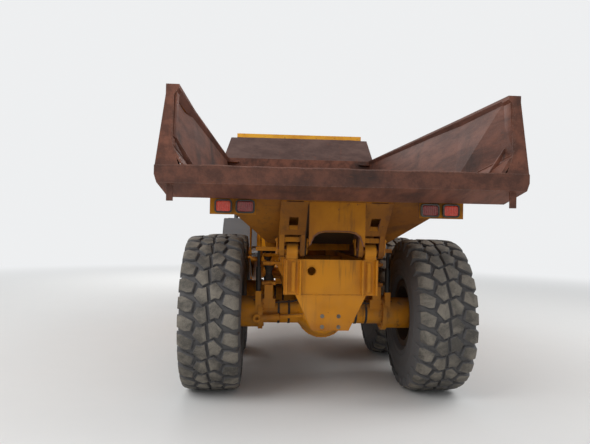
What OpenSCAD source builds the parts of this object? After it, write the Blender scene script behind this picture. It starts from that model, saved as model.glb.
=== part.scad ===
// Articulated dump truck with three axles and an open, scow-ended tipping body.
// Millimetres. The front bumper faces -Y, the body's tail faces +Y and +Z is up.
// The truck's own left side is +X. The origin is on the ground, midway between bumper and tail.

/* [Overall] */
// Distance from the front axle forward to the bumper's face
front_overhang = 2320; // [2120:10:2620]
// Distance from the rear axle back to the tail lip
rear_overhang = 1550; // [1530:10:1600]
// Distance between the two rear axles
bogie_gap = 1730; // [1700:10:1780]
// Distance from the front axle back to the middle axle
wheelbase = 4100; // [4080:10:4160]
// Distance from the front axle back to the steering pivot
pivot_back = 1300; // [1290:5:1320]

/* [Wheels] */
// Outer diameter over the tread lugs
tyre_d = 1620; // [1600:5:1630]
// Width of a tyre's section
tyre_w = 600; // [570:10:610]
// Distance between the middles of a left and a right tyre
track = 2300; // [2290:5:2340]
// Diameter of the rim where the tyre's beads sit
rim_d = 635; // [625:1:645]
// Diameter of the axle ends inside the wheels
axle_end_d = 330; // [310:5:340]
// Diameter of the axle tubes
axle_tube_d = 240; // [220:5:250]
// Diameter of the spindles that carry the wheels
spindle_d = 120; // [100:5:140]

/* [Rear frame] */
// Height of the rear frame's top face
frame_top = 1420; // [1405:5:1425]
// Height of a rear frame rail
rail_h = 335; // [310:5:345]
// Width of a rear frame rail
rail_w = 110; // [100:5:120]
// Distance from the middle plane to the middle of a rear rail
rail_x = 375; // [370:1:380]
// Distance from the rear axle back to the body's hinge
hinge_back = 700; // [690:5:710]
// Height of the body's hinge
hinge_z = 1500; // [1498:1:1508]
// Diameter of the body's hinge pins
hinge_pin_d = 90; // [70:5:95]
// Height of the towing plate's lower edge
tow_plate_low = 750; // [720:5:770]

/* [Body] */
// Thickness of the body's plates
body_plate = 25; // [20:1:28]
// Height of the floor's underside
floor_z = 1560; // [1555:1:1570]
// Height of the tail lip
lip_z = 2190; // [2170:5:2210]
// Height of the tail beam's face
lip_face = 140; // [120:5:160]
// Depth of the box rail along the top of a side
top_rail = 90; // [80:5:100]
// Height of the spill guard's top edge
guard_top = 3500; // [3460:5:3520]

/* [Cab and hood] */
// Width of the cab
cab_w = 1560; // [1520:10:1580]
// Height of the cab's roof
cab_top = 3470; // [3430:5:3490]
// Height of the platform that carries the cab
platform_z = 1890; // [1870:5:1900]
// Thickness of the cab's walls
cab_wall = 55; // [50:1:60]
// Width of the hood
hood_w = 1240; // [1200:10:1260]
// Thickness of the hood's panels
hood_wall = 25; // [20:1:28]

/* [Joints] */
// Radial clearance of a pin in its bore
pin_gap = 0.4; // [0.3:0.1:0.8]
// Side clearance between moving pieces
run_gap = 8; // [6:1:12]

/* [Hidden] */
$fn = 48;

// Colours
yellow = "goldenrod";
worn = "sienna";
rubber = [0.13, 0.13, 0.13];
dark = [0.2, 0.2, 0.2];
steel = "silver";

// Clearance between pieces that are fitted into each other
seat = 0.3;

// Places along the truck
overall_len = front_overhang + wheelbase + bogie_gap + rear_overhang;
tail_y = overall_len / 2;
nose_y = -overall_len / 2;
rear_axle_y = tail_y - rear_overhang;
mid_axle_y = rear_axle_y - bogie_gap;
front_axle_y = mid_axle_y - wheelbase;
pivot_y = front_axle_y + pivot_back;
hinge_y = rear_axle_y + hinge_back;
axle_z = tyre_d / 2;
wheel_x = track / 2;

// Shared forms

// Solid between the planes x0 and x1 with an outline of [y, z] points
module side_profile(x0, x1, outline) {
    translate([x0, 0, 0]) rotate([90, 0, 90]) linear_extrude(x1 - x0) polygon(outline);
}

// Solid between the planes y0 and y1 with an outline of [x, z] points
module rear_profile(y0, y1, outline) {
    translate([0, y1, 0]) rotate([90, 0, 0]) linear_extrude(y1 - y0) polygon(outline);
}

module block(x0, x1, y0, y1, z0, z1) {
    translate([x0, y0, z0]) cube([x1 - x0, y1 - y0, z1 - z0]);
}

module x_cylinder(x0, x1, y, z, d) {
    translate([x0, y, z]) rotate([0, 90, 0]) cylinder(h = x1 - x0, d = d);
}

module y_cylinder(y0, y1, x, z, d) {
    translate([x, y0, z]) rotate([-90, 0, 0]) cylinder(h = y1 - y0, d = d);
}

module z_cylinder(z0, z1, x, y, d) {
    translate([x, y, z0]) cylinder(h = z1 - z0, d = d);
}

module both_sides() {
    children();
    mirror([1, 0, 0]) children();
}

// Solid skin over rings that have the same number of points
module loft(rings) {
    n = len(rings[0]);
    last = len(rings) - 1;
    points = [for (r = rings) for (p = r) p];
    sides = [for (k = [0 : last - 1], i = [0 : n - 1], half = [0, 1])
        let (a = k * n + i, b = k * n + (i + 1) % n)
        half == 0 ? [a, b, a + n] : [b, b + n, a + n]];
    caps = [[for (i = [n - 1 : -1 : 0]) i], [for (i = [0 : n - 1]) last * n + i]];
    polyhedron(points, concat(sides, caps), convexity = 6);
}

// Wheels
bead_r = rim_d / 2;
bead_in = tyre_w / 2 - 60;
flange_r = bead_r + 42;
flange_t = 18;
barrel_wall = 22;
tread_half = tyre_w / 2 - 25;
shoulder_r = tyre_d / 2 - 45;

// The tyre's section: radius and place along its axle
module tyre_outline() {
    half = [
        [bead_r + seat, bead_in - seat], [flange_r + 6, bead_in - seat], [flange_r + 50, tyre_w / 2 - 15],
        [bead_r + 210, tyre_w / 2], [shoulder_r - 125, tyre_w / 2 - 5], [shoulder_r, tread_half],
        [tyre_d / 2 - 8, tread_half - 50], [tyre_d / 2, tread_half - 150]];
    polygon(concat(half, [for (i = [len(half) - 1 : -1 : 0]) [half[i][0], -half[i][1]]]));
}

module tyre(side, y) {
    color(rubber) translate([side * wheel_x, y, axle_z]) rotate([0, 90, 0])
        rotate_extrude($fn = 96) tyre_outline();
}

disc_in = 20;
hub_r = 165;
hub_len = 230;
axle_end_gap = 12;
spindle_len = 90;
bearing_depth = spindle_len + 20;
stud_circle_r = hub_r + 62;

// The rim's section: barrel with two flanges, a dished disc, and the hub reduction's cover outside it
module rim_outline() {
    inner_r = bead_r - barrel_wall;
    bore_r = spindle_d / 2 + pin_gap;
    polygon([
        [inner_r, -bead_in - flange_t], [flange_r, -bead_in - flange_t], [flange_r, -bead_in], [bead_r, -bead_in],
        [bead_r, bead_in], [flange_r, bead_in], [flange_r, bead_in + flange_t], [inner_r, bead_in + flange_t],
        [inner_r, disc_in + 76], [hub_r + 45, disc_in + 50], [hub_r, disc_in + 60],
        [hub_r, disc_in + 190], [hub_r - 20, disc_in + 215], [90, disc_in + hub_len], [0, disc_in + hub_len],
        [0, disc_in + bearing_depth], [bore_r, disc_in + bearing_depth],
        [bore_r, disc_in], [hub_r, disc_in], [inner_r, disc_in + 50]
    ]);
}

// side is 1 on the left and -1 on the right; the disc's outer side faces away from the truck
module rim(side, y) {
    color(yellow) translate([side * wheel_x, y, axle_z]) rotate([0, side * 90, 0]) difference() {
        rotate_extrude($fn = 64) rim_outline();
        for (a = [15 : 30 : 345]) rotate(a) translate([stud_circle_r, 0, disc_in]) cylinder(h = 90, d = 34, $fn = 16);
    }
}

// Axles
case_r = 260;
nose_len = 380;
stub_len = 310;
end_in = wheel_x - tyre_w / 2 - 185;
pad_top = axle_z + 150;
pad_half = 72;

// The differential's own axis points to the front
module case_place(y) translate([0, y, axle_z]) rotate([90, 0, 0]) children();

// One driven axle: tubes, wheel ends, spring pads and the round differential case with its nose to the front
module axle(y, pad_x) {
    x_cylinder(-end_in - 10, end_in + 10, y, axle_z, axle_tube_d);
    both_sides() {
        x_cylinder(end_in, wheel_x + disc_in - axle_end_gap, y, axle_z, axle_end_d);
        x_cylinder(end_in - 25, end_in + 25, y, axle_z, axle_end_d + 40);
        x_cylinder(wheel_x, wheel_x + disc_in + spindle_len, y, axle_z, spindle_d);
        block(pad_x - pad_half, pad_x + pad_half, y - 110, y + 110, axle_z, pad_top);
        // cone from the case to the tube
        translate([150, y, axle_z]) rotate([0, 90, 0]) cylinder(h = 110, r1 = case_r - 50, r2 = axle_tube_d / 2);
    }
    case_place(y) rotate_extrude($fn = 40) polygon([
        [0, -case_r], [110, -case_r + 15], [200, -case_r + 80], [case_r, -40], [case_r, 60],
        [215, 170], [130, 240], [115, nose_len - 40], [115, nose_len], [0, nose_len]]);
}

// Tractor frame
front_rail_x = 300;
front_rail_in = front_rail_x - 40;
front_rail_out = front_rail_x + 40;
front_rail_z0 = 980;
front_rail_z1 = 1260;
neck_y0 = pivot_y - 620;
neck_y1 = pivot_y - 470;
neck_half = 230;
lug_low_z = 720;
lug_high_z = 1290;
lug_t = 60;
pivot_pin_d = 100;
bumper_d = 240;
bumper_low = 660;
bumper_high = 1140;
engine_z0 = 1100;
engine_z1 = 1880;
gearbox_half = 200;
gearbox_z1 = 1420;
gearbox_len = 640;
platform_ahead = 920;
platform_behind = 630;
platform_front = front_axle_y - platform_ahead;
platform_rear = front_axle_y + platform_behind;
platform_half = cab_w / 2;
fender_top = platform_z + 20;
engine_y0 = nose_y + 490;
engine_y1 = platform_front - 40;

// Steering cylinders: barrel pin on the front frame, rod eye between the hitch's arms
steer_z = 870;
steer_base_x = 360;
steer_base_y = pivot_y - 670;
steer_eye_x = 280;
steer_eye_y = pivot_y + 180;
steer_eye_half = 42;
steer_pin_d = 50;
steer_ear_r = 60;
ear_slot = steer_eye_half + run_gap;
ear_plate = 25;
ear_z = [steer_z - ear_slot - ear_plate, steer_z + ear_slot];

// Hood hinge at the front of the front frame
hood_hinge_y = nose_y + 200;
hood_hinge_z = 1300;
hood_pin_d = 30;

// Bracket below a rail with two ears and the pin of a steering cylinder
module steer_bracket() {
    block(front_rail_in, front_rail_x - 5, steer_base_y - 75, steer_base_y + 60, ear_z[0], front_rail_z0 + 5);
    for (z = ear_z) {
        block(front_rail_in, steer_base_x, steer_base_y - steer_ear_r, steer_base_y + steer_ear_r, z, z + ear_plate);
        z_cylinder(z, z + ear_plate, steer_base_x, steer_base_y, 2 * steer_ear_r);
    }
    z_cylinder(ear_z[0] - 15, ear_z[1] + ear_plate + 15, steer_base_x, steer_base_y, steer_pin_d);
}

// Ear with the pin of the hood hinge
module hood_ear() {
    side_profile(front_rail_x - 15, front_rail_x + 15, [
        [nose_y + bumper_d + 5, bumper_high + 15], [hood_hinge_y - 30, hood_hinge_z - 40],
        [hood_hinge_y - 30, hood_hinge_z + 25], [hood_hinge_y + 25, hood_hinge_z + 30],
        [nose_y + bumper_d + 60, front_rail_z1 - 10], [nose_y + bumper_d + 60, bumper_high + 15]]);
    x_cylinder(front_rail_x, front_rail_x + 60, hood_hinge_y, hood_hinge_z, hood_pin_d);
}

module front_frame() {
    color(yellow) union() {
        both_sides() {
            block(front_rail_in, front_rail_out, nose_y + bumper_d, neck_y1, front_rail_z0, front_rail_z1);
            // seat on the axle's spring pad
            block(front_rail_x - pad_half, front_rail_x + pad_half, front_axle_y - 105, front_axle_y + 105,
                pad_top, front_rail_z0 + 5);
            steer_bracket();
            hood_ear();
        }
        // neck between the rails and the lugs of the steering pivot
        block(-front_rail_out, front_rail_out, neck_y0, neck_y1, front_rail_z0, lug_high_z);
        block(-neck_half, neck_half, neck_y0, neck_y1, lug_low_z, lug_high_z);
        for (z = [lug_low_z, lug_high_z - lug_t]) {
            translate([0, 0, z]) linear_extrude(lug_t) polygon([
                [-neck_half, neck_y1 - 10], [neck_half, neck_y1 - 10], [130, pivot_y], [-130, pivot_y]]);
            z_cylinder(z, z + lug_t, 0, pivot_y, 270);
        }
        z_cylinder(lug_low_z - 20, lug_high_z + 20, 0, pivot_y, pivot_pin_d);
        // cross members, two of them under the engine
        for (y = [nose_y + bumper_d, engine_y0 + 60, engine_y1 - 120])
            block(-front_rail_x, front_rail_x, y, y + 90, front_rail_z0, engine_z0);
    }
}

lamp_x = 1010;
lamp_z = 945;
lamp_recess = 80;

module front_bumper() {
    half = 1290;
    color(yellow) difference() {
        union() {
            translate([0, 0, bumper_low]) linear_extrude(bumper_high - bumper_low) polygon([
                [-half, nose_y + 190], [-half + 170, nose_y], [half - 170, nose_y],
                [half, nose_y + 190], [half, nose_y + bumper_d], [-half, nose_y + bumper_d]]);
            // legs under the rails
            both_sides() block(front_rail_in, front_rail_out, nose_y + bumper_d - 5, nose_y + bumper_d + 160,
                bumper_low + 60, front_rail_z0);
        }
        both_sides() block(lamp_x - 195, lamp_x + 90, nose_y - 1, nose_y + lamp_recess, lamp_z - 85, lamp_z + 85);
        // recess of the towing eye
        block(-110, 110, nose_y - 1, nose_y + 90, 720, 840);
    }
}

module headlamps() {
    color("ivory") both_sides() for (dx = [-120, 15])
        y_cylinder(nose_y + 12, nose_y + lamp_recess, lamp_x + dx, lamp_z, 120);
}

module front_axle() color(yellow) union() axle(front_axle_y, front_rail_x);

// Engine as one plain block, with the gearbox behind it
module engine() {
    color(dark) union() {
        block(-240, 240, engine_y0, engine_y1, engine_z0, engine_z1);
        block(-gearbox_half, gearbox_half, engine_y1 - 10, engine_y1 + gearbox_len, engine_z0, gearbox_z1);
    }
}

module radiator() {
    y0 = nose_y + 400;
    color(dark) union() {
        block(-480, 480, y0 + 5, y0 + 75, front_rail_z1, 1900);
        for (x = [-500, 480]) block(x, x + 20, y0, y0 + 80, front_rail_z1, 1920);
        block(-500, 500, y0, y0 + 80, 1890, 1920);
    }
}

// Hood
hood_front = nose_y + 80;
hood_rear = platform_front - 30;
hood_low = 1290;
hood_top_rear = 2180;
hood_top_front = 2030;
grille_half = 430;
grille_z0 = 1400;
grille_z1 = 1840;
grille_bars = 10;

// The hood's outer form, shrunk by t at the front, the sides and the top and lengthened at its open ends
module hood_block(t) {
    half = hood_w / 2 - t;
    open = t > 0 ? 30 : 0;
    chamfer = 90;
    intersection() {
        side_profile(-half, half, [
            [hood_front + t, hood_low - open], [hood_rear + open, hood_low - open],
            [hood_rear + open, hood_top_rear - t], [hood_front + 170 + t / 2, hood_top_front - t],
            [hood_front + t, hood_top_front - 160 - t / 2]]);
        rear_profile(hood_front - 10, hood_rear + open + 10, [
            [-half, hood_low - open - 1], [half, hood_low - open - 1], [half, hood_top_front - 60 - t / 2],
            [half - chamfer, hood_top_rear + 10 - t], [-half + chamfer, hood_top_rear + 10 - t],
            [-half, hood_top_front - 60 - t / 2]]);
    }
}

module hood() {
    half = hood_w / 2;
    lug_x = front_rail_x + 15 + run_gap - 1;
    color(yellow) difference() {
        union() {
            difference() {
                hood_block(0);
                hood_block(hood_wall);
            }
            // hinge lugs on the front panel
            both_sides() side_profile(lug_x, lug_x + 30, [
                [hood_front + 10, hood_hinge_z - 10], [hood_hinge_y - 20, hood_hinge_z - 30],
                [hood_hinge_y + 20, hood_hinge_z - 30], [hood_hinge_y + 30, hood_hinge_z],
                [hood_hinge_y + 15, hood_hinge_z + 32], [hood_front + 10, hood_hinge_z + 70]]);
        }
        both_sides() x_cylinder(front_rail_x, front_rail_x + 70, hood_hinge_y, hood_hinge_z, hood_pin_d + 2 * pin_gap);
        // grille opening
        block(-grille_half, grille_half, hood_front - 5, hood_front + hood_wall + 5, grille_z0, grille_z1);
        // side louvres
        both_sides() for (k = [0 : 6])
            block(half - hood_wall - 5, half + 5, hood_front + 330 + k * 110, hood_front + 385 + k * 110, 1480, 1840);
    }
}

module hood_grille() {
    pitch = (grille_z1 - grille_z0 - 12) / grille_bars;
    y0 = hood_front + 3;
    color(dark) union() {
        for (k = [1 : grille_bars - 1])
            block(-grille_half, grille_half, y0 + 2, y0 + 12, grille_z0 + k * pitch - 2, grille_z0 + k * pitch + 14);
        for (x = [-grille_half, -8, grille_half - 16]) block(x, x + 16, y0, y0 + 15, grille_z0, grille_z1);
        for (z = [grille_z0, grille_z1 - 12]) block(-grille_half, grille_half, y0, y0 + 15, z, z + 12);
    }
}

// Fenders and platform
fender_in = platform_half;
fender_out = wheel_x + tyre_w / 2 + 20;
fender_t = 30;
// outer face of a fender: place behind the front axle, height
fender_outer = [[-1010, 1290], [-930, 1620], [-740, fender_top], [420, fender_top], [640, 1690], [840, 1330]];
fender_inner = [
    [840 - fender_t, 1325], [618, 1690 - fender_t], [408, fender_top - fender_t],
    [-724, fender_top - fender_t], [-903, 1608], [-1010 + fender_t, 1280]];

// Arched sheet over each front wheel, flat on top and falling away before and behind the tyre
module fenders() {
    color(dark) both_sides() {
        side_profile(fender_in, fender_out,
            [for (p = concat(fender_outer, fender_inner)) [front_axle_y + p[0], p[1]]]);
        // stay from the frame rail
        block(front_rail_out, fender_in + 60, front_axle_y - 1010, front_axle_y - 950, 1180, 1230);
        block(fender_in + 10, fender_in + 60, front_axle_y - 1010, front_axle_y - 950, 1180, 1300);
    }
}

// Flap hung on the rear edge of each fender
module mudflaps() {
    y = front_axle_y + fender_outer[5][0];
    top = fender_outer[5][1];
    low = axle_z - 170;
    color(rubber) both_sides()
        side_profile(fender_in + 70, fender_out - 10, [[y, top], [y - 24, top - 4], [y + 2, low], [y + 26, low]]);
}

// Platform under the cab: deck plate on a front wall, a rear wall and two skirts
module platform() {
    half = platform_half - seat;
    color(yellow) difference() {
        block(-half, half, platform_front, platform_rear, front_rail_z1, platform_z);
        block(-half + 30, half - 30, platform_front + 30, platform_rear - 30, front_rail_z1 - 1, platform_z - 50);
        // tunnel of the gearbox
        block(-gearbox_half - 35, gearbox_half + 35, platform_front - 1, platform_front + 31,
            front_rail_z1 - 1, gearbox_z1 + 60);
        both_sides() block(half - 35, half + 5, platform_front + 90, platform_rear - 90,
            front_rail_z1 - 1, platform_z - 250);
    }
}

// Cab
cab_front = platform_front + 10;
cab_rear = platform_rear - 10;
cab_half = cab_w / 2;
cab_floor = platform_z + 50;
belt_z = platform_z + 520;
sill_z = belt_z - 150;
brow_z = cab_top - 220;
screen_half = cab_half - 100;
back_half = cab_half - 150;
door_y0 = cab_front + 430;
door_y1 = cab_rear - 180;
door_z0 = platform_z + 60;
door_z1 = cab_top - 120;
door_gap = 8;
door_frame = 85;
door_t = cab_wall - 12;
door_glass_low = belt_z - 260;
glass_t = 8;
glass_in = 22;
door_hinge_x = cab_half + 30;
door_hinge_y = door_y0 - 10;
door_pin_d = 22;
door_hinges = [door_z0 + 150, door_z1 - 230];

// Side outline of the cab
cab_outline = [
    [cab_front, platform_z], [cab_rear, platform_z], [cab_rear, cab_top - 60], [cab_rear - 60, cab_top],
    [cab_front + 230, cab_top], [cab_front + 150, cab_top - 70], [cab_front, sill_z]];
cab_hollow = [
    [cab_front + cab_wall, cab_floor], [cab_rear - cab_wall, cab_floor],
    [cab_rear - cab_wall, cab_top - 95], [cab_rear - 90, cab_top - cab_wall],
    [cab_front + 250, cab_top - cab_wall], [cab_front + 200, cab_top - 95], [cab_front + cab_wall, sill_z]];

// Outline of the quarter windows ahead of the door, with an edge moved in by e
function quarter_window(e) = [
    [cab_front + 120 + 2 * e, belt_z + 40 + e], [door_y0 - 75 - e, belt_z - 20 + e],
    [door_y0 - 75 - e, brow_z - e], [cab_front + 220 + e, brow_z - e]];

module cab_shell() {
    color(yellow) difference() {
        union() {
            difference() {
                side_profile(-cab_half, cab_half, cab_outline);
                side_profile(-cab_half + cab_wall, cab_half - cab_wall, cab_hollow);
            }
            // hinge pins of the door
            for (z = door_hinges) {
                z_cylinder(z, z + 80, door_hinge_x, door_hinge_y, door_pin_d);
                block(cab_half - 2, door_hinge_x, door_hinge_y - 30, door_hinge_y - 2, z, z + 18);
            }
        }
        // windscreen
        block(-screen_half, screen_half, cab_front - 10, cab_front + 230, belt_z - 60, brow_z);
        // rear window
        block(-back_half, back_half, cab_rear - cab_wall - 5, cab_rear + 5, belt_z + 40, brow_z);
        side_profile(-cab_half - 5, cab_half + 5, quarter_window(0));
        // right-hand window
        block(-cab_half - 5, -cab_half + cab_wall + 5, door_y0 + 40, door_y1 - 60, belt_z, brow_z);
        // door opening on the left
        block(cab_half - cab_wall - 5, cab_half + 5, door_y0, door_y1, door_z0, door_z1);
    }
}

// Place of the windscreen's outer face at a height
function screen_y(z) = cab_front + 20 + (z - sill_z) * 150 / (cab_top - 70 - sill_z);

module cab_glass() {
    z0 = belt_z - 60 + seat;
    z1 = brow_z - seat;
    color("lightblue") {
        side_profile(-screen_half + seat, screen_half - seat, [
            [screen_y(z0), z0], [screen_y(z0) + glass_t, z0], [screen_y(z1) + glass_t, z1], [screen_y(z1), z1]]);
        block(-back_half + seat, back_half - seat, cab_rear - glass_in - glass_t, cab_rear - glass_in,
            belt_z + 40 + seat, z1);
        for (x = [-cab_half + glass_in, cab_half - glass_in - glass_t])
            side_profile(x, x + glass_t, quarter_window(seat));
        block(-cab_half + glass_in, -cab_half + glass_in + glass_t, door_y0 + 40 + seat, door_y1 - 60 - seat,
            belt_z + seat, z1);
    }
}

module cab_door() {
    y0 = door_y0 + door_gap;
    y1 = door_y1 - door_gap;
    z0 = door_z0 + door_gap;
    z1 = door_z1 - door_gap;
    grip_y = y1 - 70;
    color(yellow) difference() {
        union() {
            difference() {
                block(cab_half - door_t, cab_half, y0, y1, z0, z1);
                block(cab_half - door_t - 5, cab_half + 5, y0 + door_frame, y1 - door_frame,
                    door_glass_low, z1 - door_frame);
            }
            // hinge eyes over the pins
            for (z = door_hinges) {
                z_cylinder(z + 22, z + 76, door_hinge_x, door_hinge_y, 2 * door_pin_d);
                block(cab_half + 8, door_hinge_x + 10, door_hinge_y + 5, y0 + 52, z + 22, z + 76);
                block(cab_half - 5, door_hinge_x, y0 + 12, y0 + 52, z + 22, z + 76);
            }
            // grip
            for (z = [belt_z - 400, belt_z - 290]) block(cab_half - 5, cab_half + 30, grip_y, grip_y + 30, z, z + 30);
            block(cab_half + 20, cab_half + 36, grip_y, grip_y + 30, belt_z - 400, belt_z - 260);
        }
        for (z = door_hinges) z_cylinder(z, z + 90, door_hinge_x, door_hinge_y, door_pin_d + 2 * pin_gap);
    }
}

module cab_door_glass() {
    x = cab_half - door_t / 2 - glass_t / 2;
    edge = door_gap + door_frame + seat;
    color("lightblue") block(x, x + glass_t, door_y0 + edge, door_y1 - edge, door_glass_low + seat, door_z1 - edge);
}

module driver_seat() {
    y = cab_rear - 480;
    color(dark) union() {
        block(-130, 130, y - 160, y + 160, cab_floor, cab_floor + 240);
        side_profile(-250, 250, [[y - 260, cab_floor + 250], [y - 240, cab_floor + 230], [y + 230, cab_floor + 230],
            [y + 240, cab_floor + 330], [y - 220, cab_floor + 360], [y - 255, cab_floor + 330]]);
        side_profile(-240, 240, [[y + 130, cab_floor + 320], [y + 250, cab_floor + 300],
            [y + 345, cab_floor + 940], [y + 320, cab_floor + 970], [y + 265, cab_floor + 960]]);
    }
}

module dash_console() {
    y = cab_front + cab_wall;
    color(dark) union() {
        side_profile(-600, 600, [[y, cab_floor], [y + 200, cab_floor], [y + 330, cab_floor + 360],
            [y + 300, cab_floor + 460], [y + 60, cab_floor + 440], [y, cab_floor + 300]]);
        // steering column and wheel, leaning towards the seat
        translate([0, y + 300, cab_floor + 400]) rotate([-35, 0, 0]) {
            translate([0, 0, -60]) cylinder(h = 290, d = 60);
            translate([0, 0, 220]) rotate_extrude($fn = 40) translate([190, 0]) circle(d = 30, $fn = 16);
            for (a = [30, 150, 270]) rotate(a) translate([0, -15, 212]) cube([185, 30, 14]);
        }
    }
}

// Pieces that stand on the fenders
module exhaust_stack() {
    x = -fender_in - 170;
    y = front_axle_y - 560;
    color(dark) difference() {
        union() {
            z_cylinder(fender_top, fender_top + 60, x, y, 110);
            z_cylinder(fender_top + 60, fender_top + 760, x, y, 230);
            translate([x, y, fender_top + 760]) cylinder(h = 60, d1 = 230, d2 = 120);
            z_cylinder(fender_top + 800, fender_top + 1420, x, y, 120);
        }
        z_cylinder(fender_top + 900, fender_top + 1430, x, y, 104);
    }
}

module air_cleaner() {
    x = -fender_in - 260;
    y = front_axle_y + 40;
    color(dark) union() {
        z_cylinder(fender_top, fender_top + 500, x, y, 330);
        translate([x, y, fender_top + 500]) cylinder(h = 60, d1 = 330, d2 = 180);
        z_cylinder(fender_top + 550, fender_top + 700, x, y, 140);
        z_cylinder(fender_top + 690, fender_top + 800, x, y, 250);
    }
}

module mirrors() {
    x = 1250;
    y = front_axle_y - 640;
    color(dark) both_sides() {
        z_cylinder(fender_top, fender_top + 1040, x, y, 34);
        block(x - 20, x + 130, y - 14, y + 14, fender_top + 980, fender_top + 1008);
        block(x + 10, x + 200, y + 10, y + 50, fender_top + 600, fender_top + 1010);
    }
}

ladder_ahead = 1400;
ladder_deep = 320;
ladder_low = 480;
ladder_high = 1400;
ladder_plate = 20;
tread_plate = 25;

// Steps ahead of the left front wheel
module ladder() {
    x0 = front_rail_out + 560;
    x1 = x0 + 430;
    y0 = front_axle_y - ladder_ahead;
    y1 = y0 + ladder_deep;
    color(dark) union() {
        for (y = [y0, y1 - ladder_plate]) {
            block(x0, x1, y, y + ladder_plate, ladder_low, ladder_high);
            block(front_rail_out, x0 + 5, y, y + ladder_plate, front_rail_z1 - 140, front_rail_z1 - 40);
        }
        for (z = [ladder_low, ladder_low + 300, ladder_low + 600, ladder_high - tread_plate])
            block(x0, x1, y0, y1, z, z + tread_plate);
    }
}

module fuel_tank() {
    y0 = front_axle_y - 1470;
    y1 = y0 + 430;
    color(yellow) union() {
        rear_profile(y0, y1, [
            [-1330, 760], [-1260, 690], [-820, 690], [-760, 750],
            [-760, 1190], [-820, 1250], [-1260, 1250], [-1330, 1180]]);
        z_cylinder(1245, 1300, -1050, y0 + 210, 110);
        for (y = [y0 + 60, y1 - 120]) block(-765, -front_rail_out, y, y + 60, 1030, 1110);
    }
}

// Hitch
hitch_d = 210;
roll_z = 1000;
spigot_d = 280;
head_y0 = pivot_y + 360;
head_y1 = pivot_y + 800;
head_y2 = head_y1 + run_gap;
hitch_disc_t = 45;

// Yoke that turns on the steering pivot and carries the rear frame's roll bearing on its spigot
module hitch() {
    color(yellow) difference() {
        union() {
            z_cylinder(lug_low_z + lug_t + run_gap, lug_high_z - lug_t - run_gap, 0, pivot_y, hitch_d);
            y_cylinder(pivot_y + 60, head_y0 - run_gap, 0, roll_z, spigot_d + 90);
            y_cylinder(pivot_y + 60, head_y2 + 10, 0, roll_z, spigot_d);
            y_cylinder(head_y2, head_y2 + hitch_disc_t, 0, roll_z, spigot_d + 80);
            // arms of the steering cylinders, with pin heads outside them
            both_sides() for (z = ear_z) {
                translate([0, 0, z]) linear_extrude(ear_plate) polygon([
                    [0, pivot_y + 60], [steer_eye_x - 25, steer_eye_y - 55], [steer_eye_x + 20, steer_eye_y + 50],
                    [0, pivot_y + 330]]);
                z_cylinder(z, z + ear_plate, steer_eye_x, steer_eye_y, 2 * steer_ear_r);
                head_z = z < steer_z ? z - 15 : z + ear_plate - 1;
                z_cylinder(head_z, head_z + 16, steer_eye_x, steer_eye_y, steer_pin_d + 20);
            }
        }
        z_cylinder(lug_low_z, lug_high_z, 0, pivot_y, pivot_pin_d + 2 * pin_gap);
    }
}

// Cylinders, drawn along +X from the base pin at the origin with their pins along Z, then turned into place
// neck is where the tube starts and reach is where it ends
module barrel(neck, reach, rod_d, eye_d, eye_half, pin_d, outer_d) {
    difference() {
        union() {
            translate([0, 0, -eye_half]) cylinder(h = 2 * eye_half, d = eye_d);
            rotate([0, 90, 0]) cylinder(h = neck + 5, d = 2 * eye_half - 8);
            translate([neck, 0, 0]) rotate([0, 90, 0]) cylinder(h = reach - neck, d = outer_d);
            translate([reach - 50, 0, 0]) rotate([0, 90, 0]) cylinder(h = 50, d = outer_d + 10);
        }
        translate([0, 0, -eye_half - 1]) cylinder(h = 2 * eye_half + 2, d = pin_d + 2 * pin_gap);
        translate([max(neck, eye_d / 2) + 15, 0, 0]) rotate([0, 90, 0]) cylinder(h = reach, d = rod_d + 2 * seat);
    }
}

// start is where the rod ends inside the barrel, and eye_at is the middle of its eye
module rod(start, eye_at, rod_d, eye_d, eye_half) {
    translate([start, 0, 0]) rotate([0, 90, 0]) cylinder(h = eye_at - start - eye_d / 2 + 15, d = rod_d);
    translate([eye_at, 0, -eye_half]) cylinder(h = 2 * eye_half, d = eye_d);
}

steer_dx = steer_eye_x - steer_base_x;
steer_dy = steer_eye_y - steer_base_y;
steer_len = norm([steer_dx, steer_dy]);
steer_turn = atan2(steer_dy, steer_dx);
steer_barrel_len = 545;
steer_rod_in = 555;
steer_rod_d = 50;

module steer_place() translate([steer_base_x, steer_base_y, steer_z]) rotate([0, 0, steer_turn]) children();

module steer_barrel() {
    color(yellow) steer_place() barrel(40, steer_barrel_len, steer_rod_d, 110, steer_eye_half, steer_pin_d, 90);
}

module steer_rod() {
    color(steel) steer_place() union() rod(steer_len - steer_rod_in, steer_len, steer_rod_d, 95, steer_eye_half);
}

hoist_x = 740;
hoist_base_y = mid_axle_y - 1570;
hoist_base_z = 750;
hoist_eye_y = mid_axle_y + 930;
hoist_eye_z = 1420;
hoist_eye_half = 45;
hoist_slot = hoist_eye_half + run_gap;
hoist_dy = hoist_eye_y - hoist_base_y;
hoist_dz = hoist_eye_z - hoist_base_z;
hoist_len = norm([hoist_dy, hoist_dz]);
hoist_turn = atan2(hoist_dz, hoist_dy);
hoist_pin_d = 70;
hoist_rod_d = 84;

// The cylinder's own +X runs along it and its pins' +Z lies across the truck
module hoist_place() translate([hoist_x, hoist_base_y, hoist_base_z]) rotate([hoist_turn, 0, 0])
    rotate([90, 0, 90]) children();

module hoist_barrel() {
    color(yellow) hoist_place() barrel(95, hoist_len - 190, hoist_rod_d, 140, hoist_eye_half, hoist_pin_d, 145);
}

module hoist_rod() {
    color(steel) hoist_place() union() rod(200, hoist_len, hoist_rod_d, 130, hoist_eye_half);
}

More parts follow.
